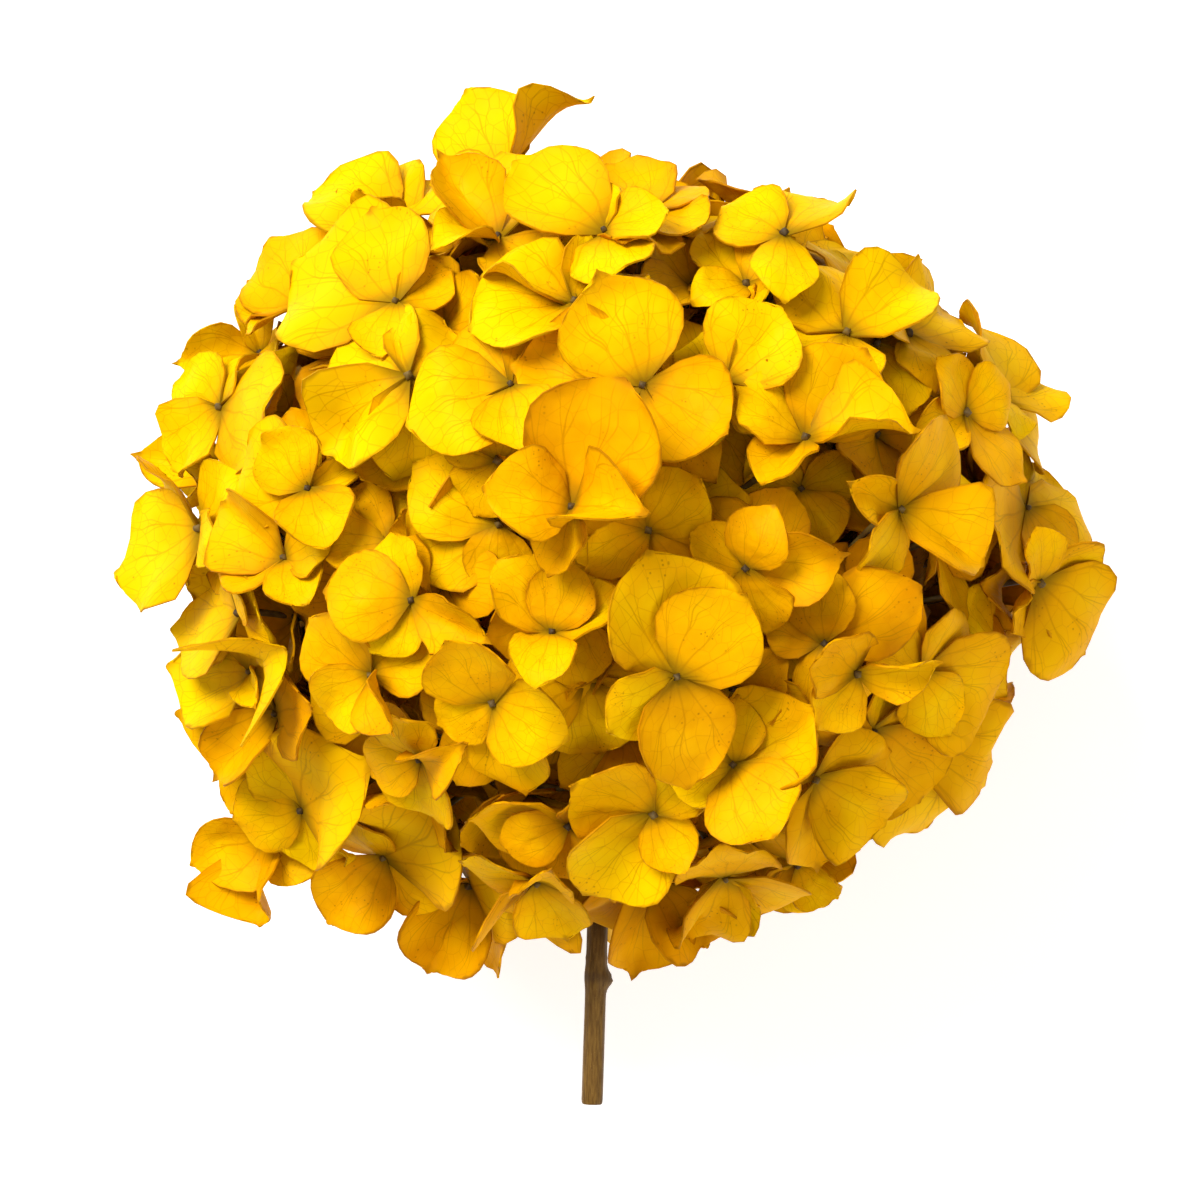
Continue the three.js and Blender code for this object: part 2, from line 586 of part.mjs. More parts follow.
// The woody stem: a turned profile with its leaf joint and its fork, leaned to its line, and the bud scar.
function stem() {
  const length = FORK.distanceTo(STEM_FOOT);
  const profile = [
    [0, 0],
    [STEM_RADIUS, 0],
    [STEM_RADIUS, JOINT_HEIGHT - 5],
    [STEM_RADIUS * 1.12, JOINT_HEIGHT],
    [STEM_RADIUS * 1.15, JOINT_HEIGHT + 2],
    [STEM_RADIUS, JOINT_HEIGHT + 6],
    [STEM_RADIUS, length - 9],
    [FORK_RADIUS * 0.8, length - 2.5],
    [FORK_RADIUS * 0.7, length],
    [0, length],
  ].map(([radius, height]) => new THREE.Vector2(radius, height));
  const turned = new THREE.LatheGeometry(profile, 12);
  const scar = new THREE.SphereGeometry(1.5, 7, 5);
  scar.scale(1, 1.5, 1);
  scar.translate(STEM_RADIUS + 0.2, JOINT_HEIGHT + 1, 0);
  const solid = solidOf(turned).add(solidOf(scar));
  const lean = new THREE.Quaternion().setFromUnitVectors(
    new THREE.Vector3(0, 1, 0),
    FORK.clone().sub(STEM_FOOT).normalize(),
  );
  const place = new THREE.Matrix4().compose(STEM_FOOT, lean, new THREE.Vector3(1, 1, 1));
  return solid.transform(place.toArray());
}

function meshOf(name, solid, material) {
  const { numProp, vertProperties, triVerts } = solid.getMesh();
  const corners = new Float32Array((vertProperties.length / numProp) * 3);
  for (let i = 0; i < corners.length / 3; i += 1) {
    corners.set(vertProperties.subarray(i * numProp, i * numProp + 3), i * 3);
  }
  const geometry = new THREE.BufferGeometry();
  geometry.setAttribute("position", new THREE.BufferAttribute(corners, 3));
  geometry.setIndex(new THREE.BufferAttribute(new Uint32Array(triVerts), 1));
  geometry.computeVertexNormals();
  const mesh = new THREE.Mesh(geometry, material);
  mesh.name = name;
  return mesh;
}

const petalYellow = new THREE.MeshStandardMaterial({ color: 0xe8b008, roughness: 0.6, metalness: 0 });
const stemBrown = new THREE.MeshStandardMaterial({ color: 0x6b4a20, roughness: 0.55, metalness: 0 });

const head = new THREE.Group();
head.add(meshOf("stem", stem(), stemBrown));
head.add(meshOf("flower_head", flowerHead(), petalYellow));

// The finished part stands with its origin under its middle, on the surface that it lies on.
const reach = new THREE.Box3().setFromObject(head);
const middle = reach.getCenter(new THREE.Vector3());
head.position.set(-middle.x, -middle.y, -reach.min.z);

export default head;
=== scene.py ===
"""A preserved hydrangea stem, laid on its back: yellow mophead, short brown stalk.

The florets stand where the part's source puts them, by the same list, rule and bending, and each lobe of
the source's thin sheets becomes a separate petal here. Sizes are in millimetres until a mesh is made.
"""

import math

import bpy
import numpy as np
from mathutils import Matrix, Vector

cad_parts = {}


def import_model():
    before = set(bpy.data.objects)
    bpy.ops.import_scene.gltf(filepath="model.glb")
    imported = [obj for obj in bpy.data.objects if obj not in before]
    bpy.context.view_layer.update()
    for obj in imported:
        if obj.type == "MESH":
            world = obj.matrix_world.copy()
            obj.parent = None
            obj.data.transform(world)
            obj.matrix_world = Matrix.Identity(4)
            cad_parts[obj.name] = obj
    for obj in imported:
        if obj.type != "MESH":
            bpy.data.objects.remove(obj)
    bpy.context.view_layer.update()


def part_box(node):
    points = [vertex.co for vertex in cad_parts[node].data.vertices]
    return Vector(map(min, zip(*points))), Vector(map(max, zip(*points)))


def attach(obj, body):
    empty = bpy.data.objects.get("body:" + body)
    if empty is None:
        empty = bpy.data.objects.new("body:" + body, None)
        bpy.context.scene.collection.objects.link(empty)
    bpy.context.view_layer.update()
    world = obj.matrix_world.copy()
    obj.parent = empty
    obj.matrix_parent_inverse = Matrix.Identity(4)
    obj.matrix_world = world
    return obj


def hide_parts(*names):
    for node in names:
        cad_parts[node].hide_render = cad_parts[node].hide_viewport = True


MM = 0.001

# Driving dimensions, the same as in the part's source. The origin is in the middle of the head.
FLORET_SPAN = np.array([82.0, 74.0, 66.0])
BACK_DEPTH = 60.0
FLOOR = -63.0
WRAP = 0.7
FORK = np.array([-3.5, -44.0, 0.0])
STEM_FOOT = np.array([-5.6, -113.8, 0.0])
STEM_RADIUS = 2.1
STEM_CLEAR = STEM_RADIUS + 3.4
STEM_ROOM = 18.0
FORK_RADIUS = 4.2
JOINT_HEIGHT = 25.6
PRESSED_AT = (0.0, -4.0)
SHEET = 0.8
GAP = 0.3
RAY_RADIUS = 1.6
RAY_REACH = 0.6
STALK_STEP = 3.2
SPACING = 29.0
SIDE_TRIES = 240
SIDE_HEIGHT = 34.0
SIDE_PETAL = 26.0
SIDE_SHARE = 0.88
FLAT_SHARE = 0.13
FLAT_TURN = 65 * math.pi / 180
TURN_UP = 1.1
SEED = 20261
DRAW_FACTOR = 1664525
DRAW_STEP = 1013904223
DRAW_RANGE = 2 ** 32
NOTCH_AT = 0.28
SHOULDER_ALONG, SHOULDER_ASIDE = 0.6, 0.54
BROW_ALONG, BROW_ASIDE = 0.98, 0.27
SHOULDER_ROOM, BROW_ROOM, WIDEST_HALF = 0.9, 0.6, 1.1
BELLY_AT = 0.6
BELLY_RISE, CURL_RISE = (-0.06, 0.12), (-0.14, 0.06)
STRAY_KEPT = 0.75
MAX_STRAY = 0.38
RISE = (-0.4, 0.85)
MOST_FALL = -26
LEAST_PETAL = 13.0
BEND_ROUNDS = 30
BEND_STEP = 2.4
CLEARANCE = 1.7
THIN_VOLUME = 20
LEAST_WEIGHT = 0.6
OWN_MOVE, NEIGHBOURS_MOVE = 0.55, 0.45
GOLDEN_ANGLE = math.pi * (3 - math.sqrt(5))

RAY_TARGETS = np.array([
    (-8, 62, 36), (40, 48, 26), (-48, 42, 30), (-66, 0, 30), (62, 6, 30), (4, 24, 62), (-26, -8, 60),
    (26, -24, 54), (-48, -52, 20), (44, -52, 24), (-2, -62, 34), (4, 44, -42), (-54, 8, -40),
    (54, 8, -40), (2, -18, -58), (2, -66, -30),
], dtype=float)
RAY_NAMES = [
    "crown", "upper_right", "upper_left", "left", "right", "middle", "middle_left", "middle_right",
    "lower_left", "lower_right", "lower", "back_crown", "back_left", "back_right", "back", "back_lower",
]

# Florets of the side that shows: the eye's x, y and lift off the egg, then a vector to each petal's tip.
FRONT_FLORETS = [
    # crown
    [(-23, 70, 0), (-7, 18, -2), (6, 2, 15), (15, 18, 4), (-14, -3, 6)],
    [(-24, 57, 3), (-12, -1, 12), (-15, 15, 4), (2, 15, -4), (9, -8, 4)],
    [(-3, 55, 5), (-16, 12, 1), (-4, 12, 9), (12, 4, 7), (2, -9, 8)],
    [(-9, 43, 4), (-17, 8, 4), (8, 8, -6), (7, -9, 3), (-19, -1, 11)],
    [(6, 61, 3), (-9, 10, 0), (8, 7, -2), (9, -4, 6), (-6, -8, 9)],
    [(-43, 44, 4), (-4, 18, 6), (10, 8, -4), (-2, -9, 2), (-21, 9, -3)],
    [(-44, 61, 1), (-17, 9, 0), (-5, 13, -3), (8, 9, -4), (-3, 2, 12)],
    [(29, 53, 4), (-11, 9, -3), (-4, 13, 4), (10, 8, -1), (2, -7, 10)],
    [(24, 47, -3), (-4, 14, 1), (5, 7, 8), (3, -8, 5), (-10, -3, 3)],
    [(42, 37, 4), (-13, 2, -5), (-7, 19, 5), (15, 9, 3), (3, -8, 8)],
    [(43, 47, -3), (-6, 10, -2), (6, 10, -3), (10, -4, 4), (-5, -7, 8)],
    [(55, 38, -2), (-2, 12, -3), (10, 7, -2), (6, -10, 6), (-10, 4, 7)],
    # left
    [(-40, 29, 6), (-15, 14, 2), (6, 12, -9), (-1, -20, -2), (-18, -13, 4)],
    [(-62, 45, 1), (-5, 12, -4), (6, 3, 6), (-7, -5, 12), (-13, 8, -3)],
    [(-72, 36, 0), (-16, 1, 3), (-3, 9, -2), (6, 4, -12), (-3, -9, 8)],
    [(-76, 24, 2), (-12, 6, -1), (5, 13, 4), (9, -3, 8), (-13, -10, 2)],
    [(-81, 13, -8), (-17, 2, -2), (-5, 10, -9), (-3, -8, -10), (-4, -3, 13)],
    [(-59, 8, 3), (-8, 11, 6), (7, 4, -6), (3, -10, 9), (-14, 6, -2)],
    [(-78, 1, 0), (-17, 7, 0), (4, 10, 8), (-14, -9, -2), (-2, -3, 15)],
    [(-64, -5, 2), (-12, 11, 2), (8, 5, 4), (3, -8, 9), (-13, -3, 7)],
    [(-72, -15, -2), (-12, 4, -2), (2, 9, 6), (-9, -5, -3), (5, -2, 12)],
    # right
    [(19, 28, 5), (-4, 15, -4), (11, 14, 8), (11, -7, -5), (-9, -6, -6)],
    [(34, 17, 6), (-13, 10, -2), (11, 16, 3), (20, 3, 9), (-9, -10, 4)],
    [(49, 36, -6), (-7, 9, -5), (9, 6, -8), (14, -6, 4), (5, -15, 4)],
    [(66, 23, 4), (-4, 10, 9), (8, 4, 9), (11, -14, 3), (-9, -6, -2)],
    [(73, 27, -3), (-5, 16, -2), (13, 8, -4), (14, -8, -6), (4, -4, 12)],
    [(52, 4, 7), (8, 18, 2), (17, 5, -2), (18, -13, 3), (-6, -13, 1), (-8, 5, 10)],
    [(80, 5, 2), (-11, -5, 9), (3, 9, -9), (18, -3, -2), (10, -13, 7)],
    [(77, -9, -1), (2, 8, 9), (16, -3, 5), (13, -13, -3), (-3, -9, 5)],
    # front
    [(-20, 26, 4), (-15, 8, -3), (12, 6, -7), (2, -9, 9), (-20, -5, 5)],
    [(4, 27, 6), (-24, 3, -4), (-8, 20, 4), (15, -10, 5), (-4, -15, -5)],
    [(-9, 4, 12), (-17, 3, 7), (12, 23, 3), (12, 0, 17), (-3, -11, -2)],
    [(-23, 13, 3), (-10, 6, 3), (0, 11, 2), (9, -4, -6), (-4, -10, -4)],
    [(23, -7, 3), (5, 11, 4), (18, 2, 6), (4, -13, -3), (-8, 5, -5)],
    [(-13, -19, 6), (-9, 14, 3), (4, 13, 0), (13, 6, -2), (-2, -8, 12)],
    [(-23, 1, -5), (-15, 10, -3), (7, 7, -4), (-1, -10, 1), (-19, -3, 5)],
    [(-44, -2, -5), (-10, 10, 0), (4, 10, -2), (8, -8, 4), (-11, -1, 4)],
    [(34, 8, -12), (-9, 8, -1), (12, 4, 1), (4, -12, 2), (-12, -3, 1)],
    [(10, -27, 10), (-4, 22, 7), (13, 15, 2), (3, -22, 2), (-13, -10, 6)],
    [(38, -21, 2), (-8, 6, -4), (-1, 12, 7), (17, 12, 3), (1, -9, 3)],
    [(43, -26, 7), (-7, 5, 9), (18, 2, 8), (6, -8, -3), (-5, -10, 5)],
    # lower left
    [(-39, -13, 3), (-17, 2, 5), (-5, 12, -4), (13, -8, 5), (-8, -10, 2)],
    [(-47, -27, 4), (-13, 10, 3), (11, 4, 3), (8, -10, 6), (-9, -8, 3)],
    [(-24, -32, 5), (-8, 13, 6), (14, -7, 2), (4, -20, 4), (-10, -5, 1)],
    [(-38, -43, 3), (-6, 9, 8), (8, 2, 9), (0, -15, 6), (-12, -3, 1)],
    [(-72, -27, 2), (-18, 0, 2), (-12, 6, -4), (8, 5, 8), (4, -7, 9)],
    [(-67, -35, 0), (-21, -2, 2), (-10, 8, -3), (9, 2, 8), (-12, -9, 2)],
    [(-69, -45, -4), (-14, 0, -3), (-6, 8, -7), (6, 0, 11), (-11, -10, 3)],
    [(-59, -51, 4), (-9, 12, 4), (9, 6, 5), (1, -15, 2), (-14, -5, 2)],
    [(-68, -57, -3, 0.3), (-13, -8, 1), (4, 8, 6), (9, -11, 5), (-3, -18, -2)],
    [(-47, -64, 4, 0.3), (-9, 9, 8), (12, 6, 3), (13, -10, 1), (-11, -14, 2)],
    [(-30, -70, -3, 0.3), (-12, 3, 3), (10, 3, 6), (7, -18, 2), (-9, -17, -2)],
    [(-16, -67, 4), (-15, 2, 5), (3, 7, 10), (6, -9, 6), (-7, -12, 4)],
    [(-10, -56, 3), (-18, 3, 2), (7, 7, 4), (2, -13, 5), (-13, -4, 7)],
    # lower right
    [(-7, -28, -5), (-16, -3, 5), (3, 9, -6), (10, -4, -5), (3, -15, 3)],
    [(21, -44, 6), (-9, -1, 1), (0, 11, -6), (15, 10, 6), (5, -9, 12)],
    [(37, -47, 2), (-10, 7, -3), (17, 6, -1), (17, -11, 4), (1, -20, 2)],
    [(48, -38, -2), (-8, 3, 1), (5, 11, -3), (15, -2, 4), (7, -12, -1)],
    [(57, -27, 2), (-8, 4, 2), (11, 10, 2), (16, -5, -3), (6, -12, 5)],
    [(60, -40, -2), (-7, 3, 6), (5, 10, -5), (14, -4, -1), (3, -22, 1)],
    [(73, -22, -5), (-4, 8, 6), (6, 3, 6), (4, -11, 0), (-7, -7, -1)],
    [(6, -53, 4), (-15, 5, 6), (7, 8, -3), (5, -10, 7), (-13, -14, 2)],
    [(20, -66, 2), (-9, -12, 4), (0, 7, 13), (14, -8, -3), (3, -15, 6)],
    [(35, -65, -2), (-8, -6, -2), (2, 8, 10), (10, -6, 4), (2, -11, 5)],
    [(7, -69, -3), (-15, -8, 3), (1, 7, 9), (9, -9, 2), (-5, -20, 3)],
]

# Petals of these florets, by the eye's x and y and the petal's place in the list, that are folded or seen
# from the side: what is left of their width.
SLIM_PETALS = {
    (-24, 57): {1: 0.5}, (-23, 70): {2: 0.6}, (-9, 4): {2: 0.45}, (43, -26): {1: 0.5}, (34, 17): {2: 0.55},
    (7, -69): {3: 0.4}, (-81, 13): {0: 0.5}, (-72, 36): {0: 0.4, 1: 0.45}, (23, -7): {1: 0.65},
    (52, 4): {4: 0.4}, (-44, -2): {2: 0.5}, (-59, 8): {1: 0.4}, (-67, -35): {1: 0.5, 3: 0.5},
    (-72, -27): {1: 0.5, 3: 0.45}, (-69, -45): {0: 0.5, 2: 0.5}, (-39, -13): {2: 0.5}, (-16, -67): {1: 0.5},
    (20, -66): {3: 0.5}, (-13, -19): {2: 0.5}, (66, 23): {3: 0.6}, (-47, -27): {2: 0.55},
    (-38, -43): {1: 0.5}, (37, -47): {3: 0.65},
}

# Petals, listed in the same way, that are smaller or larger than their lobe: what they have of its length.
RESIZED_PETALS = {
    (37, -47): {1: 0.88, 2: 0.78, 3: 0.85}, (20, -66): {1: 0.8, 2: 0.8}, (35, -65): {2: 0.85},
    (21, -44): {3: 1.4}, (57, -27): {2: 0.85}, (-24, 57): {1: 0.78}, (43, -26): {1: 0.85},
    (52, 4): {2: 0.85},
}

# Florets deeper in the head, which only the gaps among the outer ones show. None stand in the gap near
# the middle that one sees through.
DEEPER_TRIES = 400
INNER_SHARE = 0.74
INNER_SPACING = 25.0
INNER_PETAL = 21.0
FILLER_SHARE = 0.88
FILLER_SPACING = 19.0
FILLER_PETAL = 16.0
FILLER_ROOM = 11.0
SEE_THROUGH = (4.0, -23.0)
SEE_THROUGH_ROOM = 13.0

# The faces across and along an outer and a deeper petal, the points by which petals are laid on one
# another, the thickness of a petal, and how far every other petal stands over and under the sheet.
OUTER_GRID = (8, 10)
DEEPER_GRID = (5, 6)
LAY_ACROSS = np.array([-1.0, -0.5, 0.0, 0.5, 1.0])
LAY_ALONG = np.array([0.0, 0.16, 0.36, 0.58, 0.8, 1.0])
LAY_ROUNDS = 10
LAY_STEP = 1.6
LAY_CLEARANCE = 0.75
LAY_THIN_VOLUME = 8
LAY_HELD, LAY_FREED = 0.05, 0.3
PETAL_THICKNESS = 0.36
LAYER = 0.45
DETAIL_SEED = 7

# Painted shade: how much more amber the florets are made low on the right, away from the window light, than
# high on the left.
PAINTED_SHADE_LOW_RIGHT = 0.52

# How far a petal may swing from the evenly spread place of the sheet's lobe to where the photograph has it.
MOST_SWING = 0.6


class Draws:
    """A repeatable stream of numbers, the same as the part's source draws."""

    def __init__(self, seed):
        self.state = seed

    def between(self, low, high):
        self.state = (self.state * DRAW_FACTOR + DRAW_STEP) % DRAW_RANGE
        return low + (high - low) * self.state / DRAW_RANGE


def unit(vector):
    return vector / np.linalg.norm(vector)


def egg_height(x, y):
    return FLORET_SPAN[2] * math.sqrt(max(0.0, 1 - (x / FLORET_SPAN[0]) ** 2 - (y / FLORET_SPAN[1]) ** 2))


def egg_normal(point):
    depth = BACK_DEPTH if point[2] < 0 else FLORET_SPAN[2]
    return unit(point / np.array([FLORET_SPAN[0], FLORET_SPAN[1], depth]) ** 2)


def plane_of(out):
    across = unit(np.cross(np.array([0.02, 0.05, 1.0]), out))
    return across, np.cross(out, across)


def petal_at(out, turn, rise, length):
    across, along = plane_of(out)
    flat = across * math.cos(turn) + along * math.sin(turn)
    return (flat * math.cos(rise) + out * math.sin(rise)) * length


def off_stem(point):
    """The way from the stem's axis to a point beside the stem. Past the fork there is no stem."""
    axis = unit(FORK - STEM_FOOT)
    share = (point - STEM_FOOT) @ axis
    if share > np.linalg.norm(FORK - STEM_FOOT) + FORK_RADIUS:
        return np.array([0.0, 0.0, 1000.0])
    return point - STEM_FOOT - axis * share


def front_florets():
    florets = []
    for (x, y, lift, *turn_up), *tips in FRONT_FLORETS:
        petals = []
        for across, up, rise in tips:
            fall = max(egg_height(x + across, y + up) - egg_height(x, y), MOST_FALL)
            petals.append(np.array([across, up, rise + WRAP * fall]))
        eye = np.array([x, y, egg_height(x, y) + lift])
        out = unit(egg_normal(eye) + np.array([0.0, 0.0, turn_up[0] if turn_up else TURN_UP]))
        slim = SLIM_PETALS.get((x, y), {})
        widths = [slim.get(i, 1.0) for i in range(len(petals))]
        resized = RESIZED_PETALS.get((x, y), {})
        sizes = [resized.get(i, 1.0) for i in range(len(petals))]
        florets.append({
            "eye": eye, "petals": petals, "out": out, "widths": widths, "sizes": sizes, "pressed": False,
        })
    return florets


def pressed_floret():
    turns = [math.radians(degrees) for degrees in (290, 200, 112, 20)]
    petals = [np.array([math.cos(turn), math.sin(turn), 0.0]) * SIDE_PETAL for turn in turns]
    return {"eye": np.array([*PRESSED_AT, FLOOR + SHEET / 2]), "petals": petals, "pressed": True}


def spread_petals(eye, draws):
    out = egg_normal(eye)
    turn = draws.between(0, math.pi / 2)
    lift = draws.between(0.1, 0.4)
    petals = []
    for k in range(4):
        angle = turn + k * math.pi / 2 + draws.between(-0.15, 0.15)
        rise = lift + draws.between(-0.15, 0.2)
        petals.append(petal_at(out, angle, rise, SIDE_PETAL * draws.between(0.88, 1.1)))
    return petals


def evenly_round(tries):
    """Places spread evenly over a ball: each one's height, its reach from the upright axis and its turn."""
    for i in range(tries):
        height = 1 - (2 * i + 1) / tries
        yield height, math.sqrt(1 - height * height), i * GOLDEN_ANGLE


def side_florets(placed, draws):
    found = []
    for height, reach, turn in evenly_round(SIDE_TRIES):
        flatter = max(0.0, math.cos(turn - FLAT_TURN)) ** 4
        share = SIDE_SHARE - FLAT_SHARE * flatter
        eye = np.array([
            share * FLORET_SPAN[0] * reach * math.cos(turn),
            share * FLORET_SPAN[1] * reach * math.sin(turn),
            (BACK_DEPTH if height < 0 else FLORET_SPAN[2]) * height,
        ])
        crowded = any(np.linalg.norm(floret["eye"] - eye) < SPACING for floret in placed + found)
        if eye[2] > SIDE_HEIGHT or crowded or np.linalg.norm(off_stem(eye)) < STEM_ROOM:
            continue
        petals = spread_petals(eye, draws)
        found.append({"eye": eye, "petals": petals, "out": egg_normal(eye), "pressed": False})
    return found


def arranged(petals, out):
    """Petals in order round the way out of the head, kept apart, and neither shut nor folded back."""
    across, along = plane_of(out)
    polar = []
    for petal in petals:
        length = np.linalg.norm(petal)
        turn = math.atan2(petal @ along, petal @ across)
        polar.append((turn, math.asin(petal @ out / length), max(length, LEAST_PETAL), len(polar)))
    polar.sort(key=lambda item: item[0])
    even = 2 * math.pi / len(polar)
    offsets = [item[0] - k * even for k, item in enumerate(polar)]
    start = math.atan2(sum(map(math.sin, offsets)), sum(map(math.cos, offsets)))
    result = []
    for k, (turn, rise, length, _) in enumerate(polar):
        stray = math.remainder(turn - k * even - start, 2 * math.pi)
        kept = min(max(STRAY_KEPT * stray, -MAX_STRAY), MAX_STRAY)
        result.append(petal_at(out, start + k * even + kept, min(max(rise, RISE[0]), RISE[1]), length))
    return result, [item[3] for item in polar]


def settled(floret, draws):
    pressed = floret["pressed"]
    petals = floret["petals"]
    order = range(len(petals))
    if not pressed:
        petals, order = arranged(petals, floret["out"])
    aims = [floret["petals"][i] for i in order]
    widths = [floret["widths"][i] if "widths" in floret else 1.0 for i in order]
    sizes = [floret["sizes"][i] if "sizes" in floret else 1.0 for i in order]
    facing = sum(np.cross(petal, petals[(k + 1) % len(petals)]) for k, petal in enumerate(petals))
    belly = 0.0 if pressed else draws.between(*BELLY_RISE)
    curl = 0.0 if pressed else draws.between(*CURL_RISE)
    return {
        **floret, "petals": petals, "aims": aims, "widths": widths, "sizes": sizes,
        "facing": unit(facing), "belly": belly, "curl": curl,
    }


def angle_between(a, b):
    return math.acos(min(1.0, max(-1.0, a @ b)))


def floret_sheet(floret):
    """A floret's middle surface: lobes of one thin sheet, each with its place in its petal's own plane."""
    eye = floret["eye"]
    petals = floret["petals"]
    count = len(petals)
    axes = [unit(petal) for petal in petals]
    halves = [angle_between(axes[k], axes[(k + 1) % count]) / 2 for k in range(count)]
    points = [eye]
    for k, axis in enumerate(axes):
        following = (k + 1) % count
        length = (np.linalg.norm(petals[k]) + np.linalg.norm(petals[following])) / 2
        points.append(eye + unit(axis + axes[following]) * NOTCH_AT * length)
    faces = []
    lobes = []
    for k in range(count):
        lobe, edge, belly = lobe_of(floret, k, axes, halves, points)
        faces += [(belly, corner, edge[(i + 1) % len(edge)]) for i, corner in enumerate(edge)]
        lobes.append(lobe)
    return {
        "points": np.array(points), "faces": np.array(faces), "lobes": lobes,
        "pressed": floret["pressed"], "facing": floret["facing"],
    }


def lobe_of(floret, k, axes, halves, points):
    """Adds a lobe's points to its floret's, and returns it with the corners of its edge and its middle."""
    eye = floret["eye"]
    axis = axes[k]
    length = np.linalg.norm(floret["petals"][k])
    places = [(0.0, 0.0)]
    corners = [0]

    def add(along, side, sign, aside, rise):
        points.append(eye + axis * along * length + side * aside * length
                      + floret["facing"] * rise * length)
        places.append((sign * aside, along))
        corners.append(len(points) - 1)
        return len(points) - 1

    def side_to(neighbour, half_angle, sign, notch):
        side = unit(neighbour - axis * (neighbour @ axis))
        half = min(half_angle, WIDEST_HALF)
        reach = np.linalg.norm(points[notch] - eye) / length
        places.append((sign * math.sin(half_angle) * reach, math.cos(half_angle) * reach))
        corners.append(notch)
        shoulder_aside = min(SHOULDER_ASIDE, SHOULDER_ALONG * math.tan(SHOULDER_ROOM * half))
        brow_aside = min(BROW_ASIDE, BROW_ALONG * math.tan(BROW_ROOM * half))
        shoulder = add(SHOULDER_ALONG, side, sign, shoulder_aside, 0.0)
        brow = add(BROW_ALONG, side, sign, brow_aside, floret["curl"])
        return shoulder, brow

    before = (k + len(axes) - 1) % len(axes)
    last = side_to(axes[before], halves[before], -1, 1 + before)
    following = side_to(axes[(k + 1) % len(axes)], halves[k], 1, 1 + k)
    belly = add(BELLY_AT, axis, 0, 0.0, floret["belly"])
    aim = unit(floret["aims"][k])
    lobe = {
        "places": np.array(places), "corners": corners, "length": length,
        "room": (halves[before], halves[k]), "brows": (last[1], following[1]),
        "swing": min(angle_between(axis, aim), MOST_SWING),
        "swing_axis": unit(np.cross(axis, aim) + 1e-9 * floret["facing"]),
        "width": floret["widths"][k], "size": floret["sizes"][k],
    }
    return lobe, [0, 1 + before, last[0], last[1], following[1], following[0], 1 + k], belly


def sample_shares(sheet):
    """Every point, face and edge of a sheet as rows of shares of its points."""
    count = len(sheet["points"])
    middles = np.zeros((len(sheet["faces"]), count))
    rims = np.zeros((len(sheet["faces"]), count))
    for row, (belly, a, b) in enumerate(sheet["faces"]):
        middles[row, [belly, a, b]] = 1 / 3
        rims[row, [a, b]] = 0.5
    return np.vstack([np.eye(count), middles, rims])


def crossings(above, below):
    """Where samples of one sheet lie over or under another, seen from the middle of the head."""
    at = above["at"]
    distance = above["distance"]
    near = np.nonzero(at @ below["way"] >= distance * below["spread"])[0]
    if not len(near):
        return None
    parts = np.einsum("sk,fck->sfc", at[near], below["sides"]) / below["volume"][None, :, None]
    rows, hit = np.nonzero((parts >= 0).all(2) & (np.abs(below["volume"]) >= THIN_VOLUME)[None, :])
    if not len(rows):
        return None
    share = parts[rows, hit]
    total = share.sum(1)
    samples = near[rows]
    return {
        "gap": distance[samples] * (1 - 1 / total),
        "upper": samples,
        "corners": below["faces"][hit],
        "lower": share / total[:, None],
    }


def push_hits(hits, over, under, way):
    if hits is None:
        return
    short = CLEARANCE - hits["gap"] * way
    chosen = short > 0
    if not chosen.any():
        return
    step = np.minimum(short[chosen], BEND_STEP) / 2 * way
    shares = over["shares"][hits["upper"][chosen]]
    over["sum"] += shares.T @ step
    over["weight"] += shares.sum(0)
    corners = hits["corners"][chosen].ravel()
    lower = hits["lower"][chosen]
    np.add.at(under["sum"], corners, (-lower * step[:, None]).ravel())
    np.add.at(under["weight"], corners, lower.ravel())


def cones(points, faces):
    """For each face, the walls of the cone from the head's middle to it, and the cone's volume."""
    a, b, c = (points[faces[:, i]] for i in range(3))
    sides = np.stack([np.cross(b, c), np.cross(c, a), np.cross(a, b)], axis=1)
    return sides, (a * sides[:, 0]).sum(1)


def state_of(sheet, shares):
    points = sheet["points"]
    way = unit(points.sum(0))
    sides, volume = cones(points, sheet["faces"])
    at = shares @ points
    return {
        "way": way,
        "spread": float((points @ way / np.linalg.norm(points, axis=1)).min()),
        "faces": sheet["faces"],
        "sides": sides,
        "volume": volume,
        "at": at,
        "distance": np.linalg.norm(at, axis=1),
        "shares": shares,
        "sum": np.zeros(len(points)),
        "weight": np.zeros(len(points)),
    }


def push_apart(first, second):
    limit = math.cos(math.acos(min(1.0, first["spread"])) + math.acos(min(1.0, second["spread"])))
    if first["way"] @ second["way"] < limit:
        return
    first_over = crossings(first, second)
    second_over = crossings(second, first)
    lead = 0.0
    if first_over is not None:
        lead += first_over["gap"].sum()
    if second_over is not None:
        lead -= second_over["gap"].sum()
    side = 1 if lead >= 0 else -1
    push_hits(first_over, first, second, side)
    push_hits(second_over, second, first, -side)


def move_sheet(sheet, state, lengths):
    asked = np.where(state["weight"] > 0, state["sum"] / np.maximum(state["weight"], LEAST_WEIGHT), 0.0)
    around = np.zeros_like(asked)
    count = np.zeros_like(asked)
    totals = asked[sheet["faces"]].sum(1)
    for i in range(3):
        np.add.at(around, sheet["faces"][:, i], totals)
        np.add.at(count, sheet["faces"][:, i], 3)
    step = OWN_MOVE * asked + NEIGHBOURS_MOVE * around / count
    points = sheet["points"]
    points += points / np.linalg.norm(points, axis=1)[:, None] * step[:, None]
    for i in range(1, len(points)):
        points[i] = points[0] + unit(points[i] - points[0]) * lengths[i]
        off = off_stem(points[i])
        distance = np.linalg.norm(off)
        if distance < STEM_CLEAR:
            points[i] += off * (STEM_CLEAR / distance - 1)
        points[i][2] = max(points[i][2], FLOOR + SHEET / 2)


